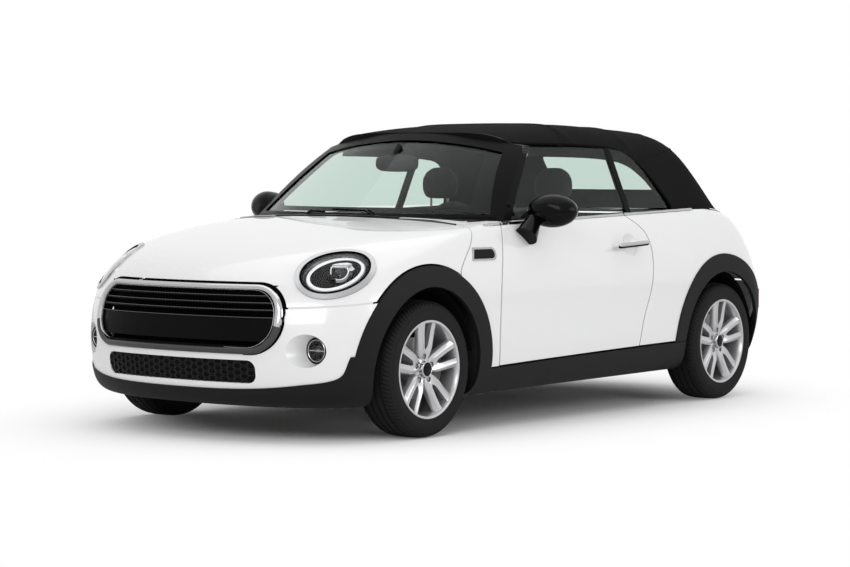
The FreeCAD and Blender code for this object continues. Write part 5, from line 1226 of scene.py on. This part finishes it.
def cushion(name, rings, limit, node):
    """A padded piece that stands for a CAD node: rounded rings made into one form and inflated."""
    piece = build(name, loft(rings), SEAT_CLOTH, sharp=70)
    even = piece.modifiers.new("even", "REMESH")
    even.mode = "VOXEL"
    even.voxel_size = COVER_MESH
    data = settled(piece)
    piece.modifiers.clear()
    piece.data = data
    piece.data = inflated(piece, limit)
    for _ in range(2):
        soften(piece.data)
    piece.data.materials.clear()
    piece.data.materials.append(SEAT_CLOTH)
    for face in piece.data.polygons:
        face.use_smooth = True
    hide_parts(node)


for side, label in SIDES:
    x = side * SEAT_X
    cushion(f"seat_base_{label}", [section_ring((x, SEAT_Y, z), half, depth)
                                   for z, half, depth in BASE_RINGS], 0.01, "front_seats")
    cushion(f"seat_back_{label}", [section_ring((x, y, z), half, depth, lean=BACK_LEAN)
                                   for y, z, half, depth in BACK_RINGS], 0.012, "front_seats")
    cushion(f"headrest_{label}", [section_ring((x, y, z), half, depth, power=2.6)
                                  for y, z, half, depth in HEAD_RINGS], 0.006, "front_seats")
    tube = lathe(((-0.055, 0.0), (-0.055, 0.006), (0.055, 0.006), (0.055, 0.0)), 16, closed=False)
    upright = Matrix.Rotation(math.pi / 2, 4, "Y")
    rods = [placed(tube, Matrix.Translation((x + rod * ROD_X, ROD_Y, ROD_Z)) @ upright) for rod in (-1, 1)]
    piece = build(f"headrest_rods_{label}", joined(rods), STEEL)
    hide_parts("front_seats")
    cushion(f"bench_base_{label}", [section_ring((side * BENCH_X, BENCH_Y, z), half, depth)
                                    for z, half, depth in BENCH_RINGS], 0.006, "rear_bench")

# Windscreen border and cabin mirror.
SCREEN_TREE = skin_tree("windscreen")
SCREEN_LOW, SCREEN_HIGH = (0.694, 0.984), (0.541, 1.27)


def screen_border():
    """Matching points round the glass, at its edge and along the inside of its dark border."""
    (low_x, low_z), (high_x, high_z) = SCREEN_LOW, SCREEN_HIGH
    rise = [(low_x + (high_x - low_x) * k / 24, low_z + (high_z - low_z) * k / 24) for k in range(24)]
    top = [(high_x - 2 * high_x * k / 40, high_z + 0.058 * (1 - (1 - 2 * k / 40) ** 2)) for k in range(40)]
    fall = [(-high_x - (low_x - high_x) * k / 24, high_z - (high_z - low_z) * k / 24) for k in range(24)]
    outer = rise + top + fall + [(-low_x + 2 * low_x * k / 40, low_z) for k in range(40)]
    inner = [(x * 0.865, min(z, 1.27 + 0.02 * (1 - abs(x) / 0.55)) if z > 1.2 else max(z, low_z + 0.022))
             for x, z in outer]
    for _ in range(6):
        inner = [tuple((before + 2 * here + after) / 4
                       for before, here, after in zip(inner[k - 1], inner[k], beyond))
                 for k, beyond in enumerate(inner[1:] + inner[:1])]
    return outer, inner


def behind_glass(x, z, depth):
    """A point a depth behind the windscreen's outer face."""
    place, _ = from_front(SCREEN_TREE, x * 0.998, z)
    if place is None:
        place = SCREEN_TREE.find_nearest(Vector((x, -0.55, z)))[0]
    return (x, place.y + depth, z)


build("windscreen_border", looped([
    [behind_glass(*spot, depth)
     for spot, depth in ((out, 0.0125), (into, 0.0125), (into, 0.014), (out, 0.014))]
    for out, into in zip(*screen_border())]), SEAL)
MIRROR_END = ((-0.11, 0.014, 0.01), (-0.104, 0.028, 0.018), (-0.086, 0.037, 0.024), (-0.043, 0.041, 0.027))
MIRROR_RINGS = (*MIRROR_END, (0.0, 0.042, 0.028),
                *((-x, tall, deep) for x, tall, deep in reversed(MIRROR_END)))
build("cabin_mirror", loft([[(x, -0.335 + x * 0.18 + deep * cosine, 1.217 + tall * sine)
                             for cosine, sine in circle(18)] for x, tall, deep in MIRROR_RINGS]), VINYL)
STALK = ((-0.03, -0.338, 1.235), (0.0, -0.345, 1.272), (0.0, -0.335, 1.292), (0.0, -0.318, 1.305))
build("cabin_mirror_stalk", sweep(spline_curve(STALK, 14), [(0.016 * c, 0.012 * s) for c, s in circle(12)],
                                  [(1, 0, 0)] * 14), VINYL)

# Rear end: lamp rings, reflectors, a blank plate, the tailgate's grip and lamp, and the tail pipe.
TAIL_TREE = skin_tree("tail_lamps", "quarter_panels", "rear_bumper", "tailgate")
SIDE_TREE = skin_tree("rear_bumper", "arch_trims")
PLATE_TREE = skin_tree("tailgate", "rear_bumper", "quarter_panels")
TAIL_CENTRE = Vector((0.665, 1.8005, 0.8308))
TAIL_WAY = Vector((0.45, 0.87, 0.2)).normalized()
TAIL_SIDE = TAIL_WAY.cross(Vector((0, 0, 1))).normalized()
TAIL_RISE = TAIL_SIDE.cross(TAIL_WAY)
REFLECTOR = ((0.44, 0.375), (0.6, 0.375), (0.6, 0.395), (0.44, 0.395))
PIPE_X, PIPE_Z = -0.26, 0.247


def tail_ring(radius, section, steps=64):
    """A ring round the tail lamp's axis, laid on the body's surface."""
    path = []
    for cosine, sine in circle(steps):
        start = TAIL_CENTRE + (TAIL_SIDE * cosine + TAIL_RISE * sine) * radius + TAIL_WAY * 0.3
        place, _ = hit(TAIL_TREE, start, -TAIL_WAY)
        if place is not None:
            path.append(place)
    return sweep(path, section, [TAIL_WAY] * len(path), closed=True)


def rear_plate(outline, out):
    """An outline of (x, z) raised over the rear skin."""
    rings = []
    for depth in (-0.003, out):
        ring = []
        for x, z in outline:
            place, _ = from_behind(PLATE_TREE, x, z)
            ring.append((x, (place.y if place else 1.85) + depth, z))
        rings.append(ring)
    return loft(rings)


def side_reflector():
    """A red strip on the side, behind the rear arch."""
    rows = []
    for y in (1.721, 1.732, 1.744, 1.755):
        place, _ = from_side(SIDE_TREE, y, 0.52)
        x = place.x if place else 0.8
        back, face = x - 0.006, x + 0.002
        rows.append([(back, y, 0.462), (face, y, 0.465), (face, y, 0.565), (back, y, 0.568)])
    return loft(rows)


def turned_back(profile, x, y, z, closed=True):
    """A profile turned about an axis that points to the rear."""
    spot = Matrix.Translation((x, y, z)) @ Matrix.Rotation(math.pi / 2, 4, "Z")
    return placed(lathe(profile, 40, closed=closed), spot)


for name, part, material in (
        ("rim", tail_ring(0.097, mirrored(((-0.006, -0.01), (-0.006, 0.004), (-0.003, 0.008)))), CHROME),
        ("bulge", tail_ring(0.0795, ((-0.0118, -0.006), (-0.01, 0.006), (-0.004, 0.013), (0.004, 0.014),
                                     (0.01, 0.009), (0.0118, -0.006))), RED_GLOW),
        ("glow", tail_ring(0.06, mirrored(((-0.007, -0.022), (-0.007, -0.012)))), RED_GLOW),
        ("reverse", tail_ring(0.018, ((-0.017, -0.022), (-0.017, -0.008), (0.012, -0.008), (0.012, -0.022)),
                              32), PALE_LENS_AND_PAINTED_REFLECTION)):
    build_pair(f"tail_{name}", part, material)
build_pair("side_reflector", side_reflector(), RED_GLOW)
for side, label in SIDES:
    build(f"rear_reflector_{label}", rear_plate([(side * x, z) for x, z in REFLECTOR], 0.004), RED_GLOW)
for name, level, half, tall, corner, steps, out, material in (
        ("plate_bed", 0.69, 0.275, 0.064, 0.012, 4, 0.003, TRIM),
        ("number_plate", 0.69, 0.26, 0.055, 0.006, 4, 0.0065, PLATE),
        ("tailgate_grip", 0.792, 0.165, 0.016, 0.012, 4, 0.016, CHROME),
        ("high_brake_lamp", 0.935, 0.14, 0.007, 0.005, 3, 0.005, RED_GLOW)):
    outline = rounded(half, level - tall, level + tall, corner, steps)
    build(name, rear_plate(outline, out), material, "boot_lid")
# A black disc just inside the tip's mouth: painted shade for the dark depth of the pipe.
build("tail_pipe_painted_shade", turned_back(((-0.004, 0.0), (-0.004, 0.0272), (0.0, 0.0272), (0.0, 0.0)),
                                    PIPE_X, 1.862, PIPE_Z, closed=False), SEAL)
build("tail_pipe_tip", turned_back(((-0.045, 0.027), (0.03, 0.027), (0.034, 0.029), (0.034, 0.033),
                                    (0.028, 0.0345), (-0.045, 0.0345)), PIPE_X, 1.835, PIPE_Z), CHROME)

# Cabin: a round display and vents on the dashboard.
DASH_TREE = skin_tree("dashboard")
DISC_OUT, DISC_LEVEL = 0.01, 0.855
for name, x, radius, material in (("display", 0.0, 0.09, GLOSS_BLACK), ("vent_left", 0.5, 0.045, SEAL),
                                  ("vent_right", -0.5, 0.045, SEAL)):
    place, _ = hit(DASH_TREE, (x, 0.4, DISC_LEVEL), (0, -1, 0))
    spot = Matrix.Translation((x, place.y + 0.001, DISC_LEVEL)) @ Matrix.Rotation(math.pi / 2, 4, "Z")
    disc = lathe(((-0.004, 0.0), (-0.004, radius), (DISC_OUT * 0.4, radius * 0.96), (DISC_OUT * 0.5, 0.0)),
                 48, closed=False)
    rim = lathe(((-0.004, radius), (DISC_OUT, radius), (DISC_OUT, radius + 0.008), (-0.004, radius + 0.01)),
                48)
    build(f"{name}_face", placed(disc, spot), material)
    build(f"{name}_rim", placed(rim, spot), SATIN_CHROME)


# Stage, lamps and camera.
SHADOW_HALF_WIDTH, SHADOW_HALF_LENGTH, FADE_START = 1.9, 3.0, 0.45


def stage_floor():
    """A pale floor that keeps the car's shadow and, seen directly, fades to white away from it."""
    bpy.ops.mesh.primitive_circle_add(vertices=128, radius=60, fill_type="NGON", location=(0, 0, 0))
    floor = bpy.context.object
    floor.name = "studio_floor"
    material, tree, shader = node_material("studio_floor")
    feed(tree, shader, {"Base Color": (0.94, 0.94, 0.94, 1), "Roughness": 0.9, "Specular IOR Level": 0.1})
    white = add_node(tree, "Emission", {"Color": (1, 1, 1, 1)})
    place = add_node(tree, "TexCoord").outputs["Object"]
    share = (1 / SHADOW_HALF_WIDTH, 1 / SHADOW_HALF_LENGTH, 0)
    scaled = add_node(tree, "VectorMath", {0: place, 1: share}, operation="MULTIPLY")
    reach = add_node(tree, "VectorMath", {0: scaled.outputs["Vector"]}, operation="LENGTH")
    fade = add_node(tree, "MapRange", {"From Min": FADE_START, "Value": reach.outputs["Value"]},
                    interpolation_type="SMOOTHSTEP")
    path = add_node(tree, "LightPath")
    seen = add_node(tree, "Math", {0: fade.outputs["Result"], 1: path.outputs["Is Camera Ray"]},
                    operation="MULTIPLY")
    end_with_mix(tree, seen.outputs[0], shader.outputs["BSDF"], white.outputs["Emission"])
    floor.data.materials.append(material)


def stage_world():
    """White where it is seen directly, in gloss or through glass, and softer as a light."""
    world = bpy.data.worlds.new("studio")
    bpy.context.scene.world = world
    world.use_nodes = True
    tree = world.node_tree
    path = add_node(tree, "LightPath").outputs
    seen = add_node(tree, "Math", {0: path["Is Camera Ray"], 1: path["Is Glossy Ray"]}, operation="MAXIMUM")
    seen = add_node(tree, "Math", {0: seen.outputs[0], 1: path["Is Transmission Ray"]}, operation="MAXIMUM")
    level = add_node(tree, "MapRange", {"To Min": 0.58, "To Max": 1.0, "Value": seen.outputs[0]})
    feed(tree, tree.nodes["Background"], {"Color": (1, 1, 1, 1), "Strength": level.outputs["Result"]})


def lamp(name, place, target, size, power):
    """A soft rectangular studio lamp."""
    data = bpy.data.lights.new(name, "AREA")
    data.shape = "RECTANGLE"
    data.size, data.size_y = size
    data.energy = power
    piece = bpy.data.objects.new(name, data)
    bpy.context.scene.collection.objects.link(piece)
    piece.location = place
    piece.rotation_euler = (Vector(target) - Vector(place)).to_track_quat("-Z", "Y").to_euler()


CAMERA_PLACE = Vector((7.2358, -9.3875, 1.151))
CAMERA_YAW, CAMERA_PITCH, CAMERA_ROLL = -0.6623, -0.0447, 0.006
FOCAL_PIXELS, PHOTO_WIDTH, SENSOR_WIDTH = 2371.858, 850, 36.0


def studio_camera():
    """The photograph's viewpoint, solved from the wheels, the outline and the real size."""
    level = math.cos(CAMERA_PITCH)
    forward = Vector((math.sin(CAMERA_YAW) * level, math.cos(CAMERA_YAW) * level, math.sin(CAMERA_PITCH)))
    right = forward.cross(Vector((0, 0, 1))).normalized()
    up = right.cross(forward)
    turned_right = right * math.cos(CAMERA_ROLL) + up * math.sin(CAMERA_ROLL)
    turned_up = up * math.cos(CAMERA_ROLL) - right * math.sin(CAMERA_ROLL)
    data = bpy.data.cameras.new("view")
    data.sensor_width = SENSOR_WIDTH
    data.lens = FOCAL_PIXELS / PHOTO_WIDTH * SENSOR_WIDTH
    data.clip_end = 200
    camera = bpy.data.objects.new("view", data)
    columns = (turned_right, turned_up, -forward, CAMERA_PLACE)
    camera.matrix_world = Matrix([[column[k] for column in columns] for k in range(3)] + [[0, 0, 0, 1]])
    bpy.context.scene.collection.objects.link(camera)
    bpy.context.scene.camera = camera


stage_floor()
stage_world()
lamp("top_light", (0, -0.3, 5.2), (0, 0, 0), (6.5, 8.0), 120)
lamp("front_light", (3.5, -7.5, 3.6), (0, -0.8, 0.5), (4.5, 2.8), 155)
lamp("side_light", (7.5, 1.5, 2.8), (0, 0.4, 0.5), (5.5, 2.6), 130)
studio_camera()
bpy.context.scene.view_settings.view_transform = "Standard"
